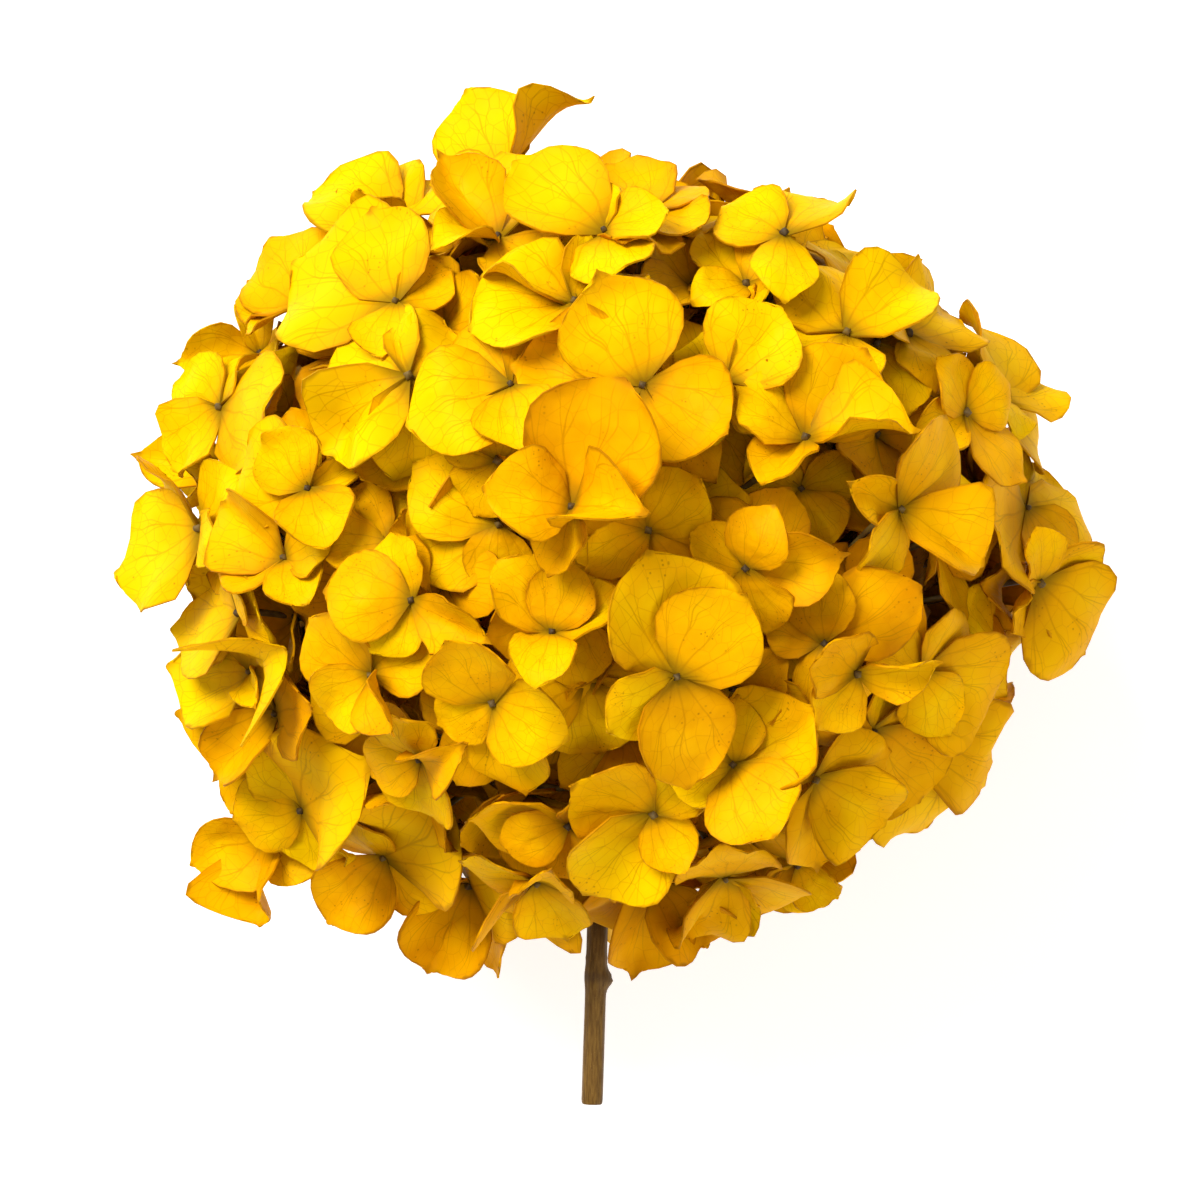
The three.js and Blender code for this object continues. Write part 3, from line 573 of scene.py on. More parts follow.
def untangle(sheets):
    """Bends the petals of different florets off one another, as the part's source does."""
    lengths = [np.linalg.norm(sheet["points"] - sheet["points"][0], axis=1) for sheet in sheets]
    shares = [sample_shares(sheet) for sheet in sheets]
    for _ in range(BEND_ROUNDS):
        states = [state_of(sheet, own) for sheet, own in zip(sheets, shares)]
        for i, first in enumerate(states):
            for second in states[i + 1:]:
                push_apart(first, second)
        for sheet, state, length in zip(sheets, states, lengths):
            if not sheet["pressed"]:
                move_sheet(sheet, state, length)


def outer_sheets():
    draws = Draws(SEED)
    front = front_florets() + [pressed_floret()]
    placed = front + side_florets(front, draws)
    sheets = [floret_sheet(settled(floret, draws)) for floret in placed]
    untangle(sheets)
    return sheets


def deeper_florets(share, spacing, petal_length, room, taken, draws):
    """Small florets on a smaller egg, clear of the stem, of the gap and of the eyes that are taken."""
    found = []
    for height, reach, turn in evenly_round(DEEPER_TRIES):
        eye = share * np.array([
            FLORET_SPAN[0] * reach * math.cos(turn),
            FLORET_SPAN[1] * reach * math.sin(turn),
            (BACK_DEPTH if height < 0 else FLORET_SPAN[2]) * height,
        ])
        crowded = any(np.linalg.norm(floret["eye"] - eye) < spacing for floret in found)
        crowded = crowded or any(np.linalg.norm(other - eye) < room for other in taken)
        seen_through = np.linalg.norm(eye[:2] - np.array(SEE_THROUGH)) < SEE_THROUGH_ROOM
        if crowded or seen_through or np.linalg.norm(off_stem(eye)) < STEM_ROOM:
            continue
        petals = [petal * petal_length / SIDE_PETAL for petal in spread_petals(eye, draws)]
        found.append({"eye": eye, "petals": petals, "out": egg_normal(eye), "pressed": False})
    return found


def inner_sheets(outer):
    draws = Draws(SEED + 1)
    eyes = [sheet["points"][0] for sheet in outer]
    florets = deeper_florets(FILLER_SHARE, FILLER_SPACING, FILLER_PETAL, FILLER_ROOM, eyes, draws)
    florets += deeper_florets(INNER_SHARE, INNER_SPACING, INNER_PETAL, 0.0, [], draws)
    return [floret_sheet(settled(floret, draws)) for floret in florets]


def branching(eyes, inner_eyes):
    """For each eye, its ray and the place where its stalk leaves it, and each ray's two ends."""
    heart = np.array([FORK[0], FORK[1] + GAP + FORK_RADIUS, FORK[2]])
    directions = [unit(target - heart) for target in RAY_TARGETS]
    nearest = [int(np.argmax([unit(eye - heart) @ way for way in directions])) for eye in eyes + inner_eyes]
    rays = {}
    feet = [None] * len(nearest)
    for number in range(len(RAY_TARGETS)):
        group = [i for i, own in enumerate(nearest[:len(eyes)]) if own == number]
        if not group:
            continue
        mean = sum(eyes[i] for i in group) / len(group)
        end = heart + (mean - heart) * RAY_REACH
        rays[number] = (heart, end)
        reach = np.linalg.norm(end - heart)
        last = reach - RAY_RADIUS
        step = min(STALK_STEP, 0.75 * last / len(group))
        group.sort(key=lambda i: -(eyes[i] - heart) @ unit(end - heart))
        for place, i in enumerate(group):
            feet[i] = heart + (end - heart) * (last - place * step) / reach
        inside = [i for i in range(len(eyes), len(nearest)) if nearest[i] == number]
        for place, i in enumerate(inside):
            feet[i] = heart + (end - heart) * (0.55 - 0.3 * place / len(inside))
    return nearest, rays, feet


# Modelling helpers

def coords_of(piece):
    coords = np.empty(len(piece.data.vertices) * 3)
    piece.data.vertices.foreach_get("co", coords)
    return coords.reshape(-1, 3)


def linked(name, data):
    piece = bpy.data.objects.new(name, data)
    bpy.context.collection.objects.link(piece)
    return piece


def copied(template, name, points):
    """A copy of the template with its own mesh, whose points stand at these places in millimetres."""
    mesh = template.data.copy()
    mesh.vertices.foreach_set("co", (points * MM).ravel())
    return linked(name, mesh)


def select_only(pieces):
    bpy.ops.object.select_all(action="DESELECT")
    for piece in pieces:
        piece.select_set(True)
    bpy.context.view_layer.objects.active = pieces[0]


def joined(name, pieces):
    select_only(pieces)
    bpy.ops.object.join()
    piece = bpy.context.active_object
    piece.name = name
    piece.data.name = name
    return piece


def vector_layer(mesh, name, vectors):
    layer = mesh.attributes.new(name, "FLOAT_VECTOR", "POINT")
    layer.data.foreach_set("vector", vectors.ravel())


# Petals

# How widely the petals' places in the material's pattern are spread, how firmly each term of a petal's bend
# is held back, and the sharpest edge that is still shaded smooth.
PATTERN_WIDTH, PATTERN_LENGTH = 40, 60
BEND_HOLD = np.diag([0.01, 0.01, 0.15, 0.18, 0.14, 0.5])
SMOOTH_ANGLE = math.radians(55)


def petal_template(across, along):
    """A flat grid of one petal, and each point's place across it and from its base to its tip."""
    bpy.ops.object.select_all(action="DESELECT")
    bpy.ops.mesh.primitive_grid_add(x_subdivisions=across, y_subdivisions=along, size=1)
    grid = bpy.context.active_object
    grid.name = "petal_template"
    coords = coords_of(grid)
    return {"grid": grid, "t": coords[:, 0] * 2, "v": coords[:, 1] + 0.5}


def petal_shape(rng, pressed):
    calm = 0.2 if pressed else 1.0
    return {
        "half_width": rng.uniform(0.43, 0.60),
        "broadest": rng.uniform(0.92, 1.22),
        "fullness": rng.uniform(0.48, 0.60),
        "point": rng.choice([0.0, 0.02, 0.05], p=[0.75, 0.2, 0.05]),
        "ragged": rng.uniform(0.0, 0.024),
        "turns": rng.uniform(0.8, 1.6),
        "phase": rng.uniform(0, 2 * math.pi),
        "fold": (rng.uniform(0.5, 1.1) if rng.uniform() < 0.18 else rng.uniform(-0.18, 0.34)) * calm,
        "cup": rng.uniform(-0.40, 0.75) * calm,
        "wave": rng.uniform(0.015, 0.055) * calm,
        "wave_turns": rng.uniform(1.6, 3.2),
        "curl": rng.uniform(-0.22, 0.20) * calm,
        "lump": rng.uniform(0.010, 0.034) * calm,
        "lump_phase": rng.uniform(0, 2 * math.pi, 4),
        "roll": rng.uniform(-0.42, 0.42) * calm,
        "lift": rng.uniform(-0.20, 0.18) * (0.0 if pressed else 1.0),
    }


def slimmed(shape, width):
    """The same petal with its two halves folded towards each other and its blade narrower."""
    if width < 1:
        shape["fold"] = 2 * (1 - width)
        shape["half_width"] *= math.sqrt(width)
        shape["point"] = 0.08
    return shape


def petal_outline(t, v, room, shape):
    """Place across and along, in petal lengths, of a grid's points within a broad rounded outline."""
    along = np.sin(v * math.pi / 2) ** 0.92
    round_width = np.sin(np.pi * np.clip(along, 0.0, 1.0) ** shape["broadest"]) ** shape["fullness"]
    width = np.maximum(shape["half_width"] * round_width, 0.02)
    spread = np.where(t < 0, math.tan(min(room[0] * 2.6, 1.42)), math.tan(min(room[1] * 2.6, 1.42)))
    claw = 0.03 + spread * along
    width = (width ** -4 + claw ** -4) ** (-1 / 4)
    width = np.maximum(width, 0.035 + 0.02 * along)
    tip = shape["point"] * np.clip((along - 0.8) / 0.2, 0, 1) ** 2 * (1 - np.abs(t)) ** 1.5
    notches = np.sin(shape["turns"] * along * 9 + shape["phase"] + 2 * np.sign(t))
    ragged = 1 + shape["ragged"] * notches * np.abs(t) ** 4
    return t * width * ragged, along + tip - 0.05 * t * t * along


def bend_terms(x, y):
    return np.stack([x, y, x * y, x * x, y * y, x * x * y], axis=1)


def lobe_surface(sheet, lobe, x, y):
    """The bent surface that a lobe of the sheet lies in, over the lobe's own plane, with its normals."""
    eye = sheet["points"][0]
    arms = sheet["points"][lobe["corners"]] - eye
    places = lobe["places"]
    length = lobe["length"]
    aside, ahead = np.linalg.lstsq(places, arms, rcond=None)[0]
    along = unit(ahead)
    across = unit(aside - along * (aside @ along))
    normal = np.cross(across, along)
    if normal @ sheet["facing"] < 0:
        normal = -normal
    terms = bend_terms(places[:, 0], places[:, 1])
    bend = np.linalg.solve(terms.T @ terms + BEND_HOLD, terms.T @ (arms @ normal / length))
    height = bend_terms(x, y) @ bend
    slope_x = bend[0] + bend[2] * y + 2 * bend[3] * x + 2 * bend[5] * x * y
    slope_y = bend[1] + bend[2] * x + 2 * bend[4] * y + bend[5] * x * x
    surface = eye + length * (np.outer(x, across) + np.outer(y, along) + np.outer(height, normal))
    normals = normal - np.outer(slope_x, across) - np.outer(slope_y, along)
    return surface, normals / np.linalg.norm(normals, axis=1)[:, None]


def petal_relief(x, y, t, shape):
    """Height over the smooth surface, in petal lengths: fold, cup, waved margin, curled tip and lumps."""
    fold = shape["fold"] * (np.sqrt(x * x + 0.004) - 0.06) * np.clip(y * 2, 0, 1)
    cup = shape["cup"] * (x * x + 0.5 * (y - 0.55) ** 2 - 0.1) * np.clip(y * 3, 0, 1)
    margin = np.maximum(np.abs(t), np.clip((y - 0.55) / 0.45, 0, 1)) ** 3
    turn = np.arctan2(x, y - 0.45)
    wave = shape["wave"] * margin * np.sin(shape["wave_turns"] * turn * 2 + shape["phase"])
    curl = shape["curl"] * np.clip((y - 0.6) / 0.4, 0, 1) ** 2
    a, b, c, d = shape["lump_phase"]
    lump = np.sin(7 * x + a) * np.sin(6 * y + b) + 0.5 * np.sin(13 * x + c + 4 * y) * np.sin(9 * y + d)
    return fold + cup + wave + curl + shape["lump"] * lump * np.clip(y * 2.5, 0, 1)


def turned(points, pivot, axis, angle):
    arms = points - pivot
    along = np.outer(arms @ axis, axis)
    return pivot + along + (arms - along) * math.cos(angle) + np.cross(axis, arms) * math.sin(angle)


def petal_points(sheet, lobe, shape, layer, t, v):
    """One petal's points at places t across and v along, with its own fold, cup, roll and lift."""
    x, y = petal_outline(t, v, lobe["room"], shape)
    size = lobe["size"]
    smooth, normals = lobe_surface(sheet, lobe, x * size, y * size)
    over_neighbours = layer * np.clip(y * 5, 0, 1) * np.clip(1.4 - y, 0, 1)
    height = petal_relief(x, y, t, shape) * lobe["length"] * size + over_neighbours
    points = smooth + normals * height[:, None]
    eye = sheet["points"][0]
    last, following = lobe["brows"]
    midrib = unit(sheet["points"][last] + sheet["points"][following] - 2 * eye)
    points = turned(points, eye, midrib, shape["roll"])
    hinge = unit(np.cross(midrib, sheet["facing"]))
    points = turned(points, eye, hinge, shape["lift"])
    points = turned(points, eye, lobe["swing_axis"], lobe["swing"])
    return points, x, y


def shaped_petals(sheets, first_inner, outer_template, deeper_template):
    """Every petal with its fine grid, the coarse grid on which it is laid, and its tones."""
    rng = np.random.RandomState(DETAIL_SEED)
    lay_t, lay_v = [grid.ravel() for grid in np.meshgrid(LAY_ACROSS, LAY_ALONG)]
    petals = []
    for number, sheet in enumerate(sheets):
        inner = number >= first_inner
        template = deeper_template if inner else outer_template
        # Deeper florets get a higher tone, which makes them amber: painted shade for the depths of the
        # head.
        floret_tone = rng.uniform(0.75, 1.5) if inner else rng.uniform(0, 1)
        eye = sheet["points"][0]
        # Painted shade: the tone rises towards the lower right, away from the window light, so those
        # florets are more amber.
        floret_tone += PAINTED_SHADE_LOW_RIGHT * (0.6 * eye[0] - 0.8 * eye[1]) / FLORET_SPAN[0]
        for k, lobe in enumerate(sheet["lobes"]):
            shape = slimmed(petal_shape(rng, sheet["pressed"]), lobe["width"])
            layer = LAYER if k % 2 == 0 else -LAYER
            fine, x, y = petal_points(sheet, lobe, shape, layer, template["t"], template["v"])
            coarse, _, _ = petal_points(sheet, lobe, shape, layer, lay_t, lay_v)
            tones = (floret_tone, rng.uniform(0, 1), rng.uniform(0, 1))
            petals.append({
                "floret": number, "fine": fine, "coarse": coarse, "x": x, "y": y, "tones": tones,
                "pressed": sheet["pressed"], "eye": sheet["points"][0], "template": template,
            })
    return petals


def lay_faces():
    wide = len(LAY_ACROSS)
    faces = []
    for row in range(len(LAY_ALONG) - 1):
        for column in range(wide - 1):
            corner = row * wide + column
            faces.append((corner, corner + 1, corner + wide + 1))
            faces.append((corner, corner + wide + 1, corner + wide))
    return np.array(faces)


def lay_shares(faces, count):
    """Each sample as shares of the grid's points, and each point's share of the faces beside it."""
    shares = np.zeros((count + len(faces), count))
    shares[:count] = np.eye(count)
    for row, face in enumerate(faces):
        shares[count + row, face] = 1 / 3
    beside = np.zeros((count, count))
    for face in faces:
        beside[np.ix_(face, face)] += 1
    return shares, beside / beside.sum(1, keepdims=True)


def petals_beside(points):
    """For each petal, those whose cones from the head's middle meet its own."""
    ways = points.mean(1)
    ways /= np.linalg.norm(ways, axis=1)[:, None]
    spread = np.einsum("npk,nk->np", points / np.linalg.norm(points, axis=2)[:, :, None], ways).min(1)
    wide = np.arccos(np.clip(spread, -1, 1))
    apart = np.arccos(np.clip(ways @ ways.T, -1, 1))
    close = apart < wide[:, None] + wide[None, :]
    np.fill_diagonal(close, False)
    return [np.nonzero(row)[0] for row in close]


def lay_hits(points, faces, samples, neighbours):
    """Where samples of a petal's neighbours lie over or under its faces, seen from the head's middle."""
    hits = []
    for i, others in enumerate(neighbours):
        if not len(others):
            continue
        sides, volume = cones(points[i], faces)
        at = samples[others].reshape(-1, 3)
        way = unit(points[i].mean(0))
        spread = (points[i] @ way / np.linalg.norm(points[i], axis=1)).min()
        distance = np.linalg.norm(at, axis=1)
        near = np.nonzero(at @ way >= distance * spread)[0]
        if not len(near):
            continue
        steep = np.abs(volume) < LAY_THIN_VOLUME
        parts = (at[near] @ sides.reshape(-1, 3).T).reshape(len(near), len(faces), 3)
        parts = parts / np.where(steep, 1.0, volume)[None, :, None]
        rows, hit = np.nonzero((parts >= 0).all(2) & ~steep[None, :])
        if not len(rows):
            continue
        share = parts[rows, hit]
        total = share.sum(1)
        sample = near[rows]
        hits.append((
            np.full(len(rows), i), others[sample // samples.shape[1]], sample % samples.shape[1], hit,
            share / total[:, None], distance[sample] * (1 - 1 / total),
        ))
    return [np.concatenate(column) for column in zip(*hits)]


def lay_moves(hits, shares, faces, order):
    """How far the hits ask each point of each petal to move along its way from the head's middle."""
    face_owner, owner, sample, face, lower, gap = hits
    np.add.at(order, (owner, face_owner), gap)
    side = np.where(order[owner, face_owner] >= order[face_owner, owner], 1.0, -1.0)
    short = LAY_CLEARANCE - gap * side
    chosen = short > 0
    step = np.minimum(short[chosen], LAY_STEP) / 2 * side[chosen]
    asked = np.zeros((len(order), shares.shape[1]))
    weight = np.zeros_like(asked)
    upper = shares[sample[chosen]]
    np.add.at(asked, owner[chosen], upper * step[:, None])
    np.add.at(weight, owner[chosen], upper)
    corners = faces[face[chosen]]
    below = np.repeat(face_owner[chosen], 3)
    np.add.at(asked, (below, corners.ravel()), (-lower[chosen] * step[:, None]).ravel())
    np.add.at(weight, (below, corners.ravel()), lower[chosen].ravel())
    return np.where(weight > 0, asked / np.maximum(weight, LEAST_WEIGHT), 0.0)


def lay_petals(petals):
    """Lays the petals on one another where they would cut through, and returns how far each point moved."""
    points = np.array([petal["coarse"] for petal in petals])
    start = points.copy()
    eyes = np.array([petal["eye"] for petal in petals])[:, None]
    reach = np.linalg.norm(points - eyes, axis=2)
    free = np.clip((np.repeat(LAY_ALONG, len(LAY_ACROSS)) - LAY_HELD) / LAY_FREED, 0, 1)[None, :]
    pressed = np.array([petal["pressed"] for petal in petals])
    faces = lay_faces()
    shares, beside = lay_shares(faces, points.shape[1])
    order = np.zeros((len(petals), len(petals)))
    for _ in range(LAY_ROUNDS):
        samples = np.einsum("sp,npk->nsk", shares, points)
        hits = lay_hits(points, faces, samples, petals_beside(points))
        asked = lay_moves(hits, shares, faces, order)
        asked = (OWN_MOVE * asked + NEIGHBOURS_MOVE * asked @ beside.T) * free
        asked[pressed] = 0
        points += points / np.linalg.norm(points, axis=2)[:, :, None] * asked[:, :, None]
        arms = points - eyes
        arms = arms / np.maximum(np.linalg.norm(arms, axis=2), 1e-6)[:, :, None]
        points = eyes + arms * reach[:, :, None]
        points[:, :, 2] = np.maximum(points[:, :, 2], FLOOR + PETAL_THICKNESS / 2)
    return points - start


def spline_weights(nodes, at):
    """The share of each node's value in a smooth curve through them, at each place."""
    count = len(nodes)
    step = np.diff(nodes)
    system = np.eye(count)
    right = np.zeros((count, count))
    for i in range(1, count - 1):
        system[i, i - 1:i + 2] = step[i - 1], 2 * (step[i - 1] + step[i]), step[i]
        right[i, i - 1:i + 2] = 6 / step[i - 1], -6 / step[i - 1] - 6 / step[i], 6 / step[i]
    bend = np.linalg.solve(system, right)
    cell = np.clip(np.searchsorted(nodes, at, side="right") - 1, 0, count - 2)
    span = step[cell]
    before = (nodes[cell + 1] - at) / span
    after = 1 - before
    rows = np.arange(len(at))
    weights = np.zeros((len(at), count))
    weights[rows, cell] += before
    weights[rows, cell + 1] += after
    curved = (before ** 3 - before)[:, None] * bend[cell] + (after ** 3 - after)[:, None] * bend[cell + 1]
    return weights + curved * (span ** 2 / 6)[:, None]


def make_petals(sheets, first_inner, nearest, shift):
    """Every petal as its own closed leaf, joined into one piece for each ray of the head."""
    templates = [petal_template(*OUTER_GRID), petal_template(*DEEPER_GRID)]
    for template in templates:
        across = spline_weights(LAY_ACROSS, template["t"])
        along = spline_weights(LAY_ALONG, template["v"])
        template["weights"] = np.einsum("pj,pi->pji", along, across).reshape(len(across), -1)
    petals = shaped_petals(sheets, first_inner, *templates)
    moves = lay_petals(petals)
    groups = {}
    for petal, move in zip(petals, moves):
        points = petal["fine"] + petal["template"]["weights"] @ move
        points[:, 2] = np.maximum(points[:, 2], FLOOR + PETAL_THICKNESS / 2)
        leaf = petal_object(points, petal, shift)
        groups.setdefault(nearest[petal["floret"]], []).append(leaf)
    for template in templates:
        bpy.data.objects.remove(template["grid"])
    return [joined_petals(RAY_NAMES[ray], leaves) for ray, leaves in sorted(groups.items())]


def petal_object(points, petal, shift):
    """One petal, with what its material reads: its own place in the pattern, its margin and its tones."""
    leaf = copied(petal["template"]["grid"], "petal", points + shift)
    _, petal_tone, age = petal["tones"]
    x, y = petal["x"], petal["y"]
    place = np.stack([x + PATTERN_WIDTH * petal_tone, y + PATTERN_LENGTH * age, 0 * x], axis=1)
    vector_layer(leaf.data, "petal_place", place)
    vector_layer(leaf.data, "petal_margin", np.stack([petal["template"]["t"], y, x], axis=1))
    vector_layer(leaf.data, "petal_tone", np.tile(np.array(petal["tones"]), len(x)))
    return leaf


def joined_petals(ray_name, petals):
    piece = joined("petals_" + ray_name, petals)
    leaf = piece.modifiers.new("thickness", "SOLIDIFY")
    leaf.thickness = PETAL_THICKNESS * MM
    leaf.offset = 0
    bpy.ops.object.modifier_apply(modifier="thickness")
    bpy.ops.object.shade_smooth_by_angle(angle=SMOOTH_ANGLE)
    return piece


# Stalks, rays and buds

RAY_RADII = (1.7, 1.35, 1.1)
STALK_RADII = (0.75, 0.62, 0.6, 0.85)
BUD_HEIGHT = 0.55


def twig_curve(name, radius):
    curve = bpy.data.curves.new(name, "CURVE")
    curve.dimensions = "3D"
    curve.bevel_depth = radius * MM
    curve.bevel_resolution = 2
    curve.resolution_u = 5
    curve.use_fill_caps = True
    return linked(name, curve)


def add_twig(curve, points, radii):
    spline = curve.data.splines.new("NURBS")
    spline.points.add(len(points) - 1)
    for target, point, radius in zip(spline.points, points, radii):
        target.co = (*(point * MM), 1.0)
        target.radius = radius
    spline.order_u = 3
    spline.use_endpoint_u = True


def make_branches(sheets, rays, feet, shift):
    rng = np.random.RandomState(DETAIL_SEED + 1)
    piece = twig_curve("rays_and_stalks", 1.0)
    for heart, end in rays.values():
        sag = rng.uniform(-2.5, 2.5, 3)
        middle = (heart + end) / 2 + sag
        add_twig(piece, [heart + shift, middle + shift, end + shift], RAY_RADII)
    for sheet, foot in zip(sheets, feet):
        eye = sheet["points"][0]
        into = foot - (eye - foot) * 0.04
        middle = (foot + eye) / 2 + rng.uniform(-2.2, 2.2, 3)
        neck = eye - sheet["facing"] * 3.0
        end = eye - sheet["facing"] * 0.4
        add_twig(piece, [into + shift, middle + shift, neck + shift, end + shift], STALK_RADII)
    select_only([piece])
    bpy.ops.object.convert(target="MESH")
    bpy.ops.object.shade_smooth()
    return bpy.context.active_object


def make_buds(sheets, shift):
    """The small dry knob in each floret's eye: four tiny lobes round a point."""
    rng = np.random.RandomState(DETAIL_SEED + 2)
    bpy.ops.object.select_all(action="DESELECT")
    bpy.ops.mesh.primitive_uv_sphere_add(segments=8, ring_count=6, radius=1)
    template = bpy.context.active_object
    coords = coords_of(template)
    turn = np.arctan2(coords[:, 1], coords[:, 0])
    swell = 1 + 0.18 * np.cos(4 * turn)
    shape = coords * np.stack([swell, swell, 0.8 + 0.5 * np.clip(coords[:, 2], 0, 1) ** 3], axis=1)
    buds = []
    for sheet in sheets:
        if sheet["pressed"]:
            continue
        size = rng.uniform(0.6, 0.95)
        upright = Vector(sheet["facing"]).to_track_quat("Z", "Y").to_matrix()
        spin = Matrix.Rotation(rng.uniform(0, math.pi), 3, "Z")
        frame = np.array(upright @ spin)
        points = shape @ frame.T * size + sheet["points"][0] + sheet["facing"] * BUD_HEIGHT
        buds.append(copied(template, "bud", points + shift))
    bpy.data.objects.remove(template)
    piece = joined("buds", buds)
    bpy.ops.object.shade_smooth()
    return piece


# Stem

STEM_SIDES = 40
SCAR_TURN = math.pi


def make_stem(shift):
    """The woody stalk: rings extruded from a cut end to the fork, then swollen at its old leaf joint."""
    axis = unit(FORK - STEM_FOOT)
    length = float(np.linalg.norm(FORK - STEM_FOOT))
    rings = [(0.0, 0.9), (0.25, 0.97), (0.8, 1.0)]
    rings += [(height, 1.0) for height in np.linspace(2, length - 10, 90)]
    rings += [(length - 7, 1.08), (length - 4.5, 1.22), (length - 2.5, 1.38), (length - 0.1, 1.36)]
    bpy.ops.object.select_all(action="DESELECT")
    start = STEM_RADIUS * MM * rings[0][1]
    bpy.ops.mesh.primitive_circle_add(vertices=STEM_SIDES, radius=start, fill_type="NGON")
    stem = bpy.context.active_object
    stem.name = "stem_bark"
    bpy.ops.object.mode_set(mode="EDIT")
    bpy.ops.mesh.select_all(action="SELECT")
    bpy.ops.mesh.flip_normals()
    for (low, before), (high, after) in zip(rings, rings[1:]):
        bpy.ops.mesh.extrude_region_move(TRANSFORM_OT_translate={"value": (0, 0, (high - low) * MM)})
        bpy.ops.transform.resize(value=(after / before, after / before, 1))
    bpy.ops.mesh.select_all(action="SELECT")
    bpy.ops.mesh.normals_make_consistent(inside=False)
    bpy.ops.object.mode_set(mode="OBJECT")
    coords = stem_relief(coords_of(stem) / MM)
    lean = np.array(Vector(axis).to_track_quat("Z", "Y").to_matrix())
    spun = np.array(Matrix.Rotation(SCAR_TURN, 3, "Z"))
    points = coords @ (lean @ spun).T + STEM_FOOT + shift
    stem.data.vertices.foreach_set("co", (points * MM).ravel())
    vector_layer(stem.data, "bark_place", coords)
    stem.data.update()
    bpy.ops.object.shade_smooth_by_angle(angle=math.radians(50))
    return stem


def stem_relief(coords):
    """Fine ridges along the bark, a ring at the leaf joint, and the bud scar on its right side."""
    turn = np.arctan2(coords[:, 1], coords[:, 0])
    height = coords[:, 2]
    ridges = 0.045 * np.sin(9 * turn + 0.05 * height) + 0.03 * np.sin(17 * turn + 1.3 + 0.09 * height)
    joint = 0.26 * np.exp(-(((height - JOINT_HEIGHT) / 2.2) ** 2))
    collar = 0.10 * np.exp(-(((height - JOINT_HEIGHT - 3.6) / 0.6) ** 2))
    facing = np.exp(-((turn / 0.62) ** 2))
    scar = 1.25 * facing * np.exp(-(((height - JOINT_HEIGHT + 0.6) / 1.5) ** 2))
    dent = -0.35 * np.exp(-((turn / 0.3) ** 2)) * np.exp(-(((height - JOINT_HEIGHT + 0.3) / 0.45) ** 2))
    radius = np.hypot(coords[:, 0], coords[:, 1])
    side = np.clip(radius / STEM_RADIUS, 0, 1) ** 2
    grown = 1 + (ridges + joint + collar + scar + dent) * side / np.maximum(radius, 0.5)
    return coords * np.stack([grown, grown, np.ones_like(grown)], axis=1)


# Materials

LEMON = (1.0, 0.63, 0.0, 1)
GOLD = (0.95, 0.465, 0.0, 1)
AMBER = (0.70, 0.275, 0.0, 1)
RUSSET = (0.34, 0.12, 0.002, 1)
VEIN_OLIVE = (0.46, 0.19, 0.0, 1)
EYE_OLIVE = (0.17, 0.11, 0.004, 1)
STALK_COLOURS = (0.25, 0.17, 0.03, 1), (0.10, 0.055, 0.012, 1)
BUD_COLOURS = (0.15, 0.09, 0.01, 1), (0.05, 0.028, 0.006, 1)
BARK_COLOURS = (0.088, 0.040, 0.004, 1), (0.19, 0.100, 0.016, 1)
BARK_SPECK = (0.30, 0.17, 0.05, 1)
BARK_SCAR = (0.045, 0.022, 0.008, 1)
WHITE = (1.0, 1.0, 1.0, 1)
VEIN_SPACING = 0.42
LIGHT_THROUGH = 0.22


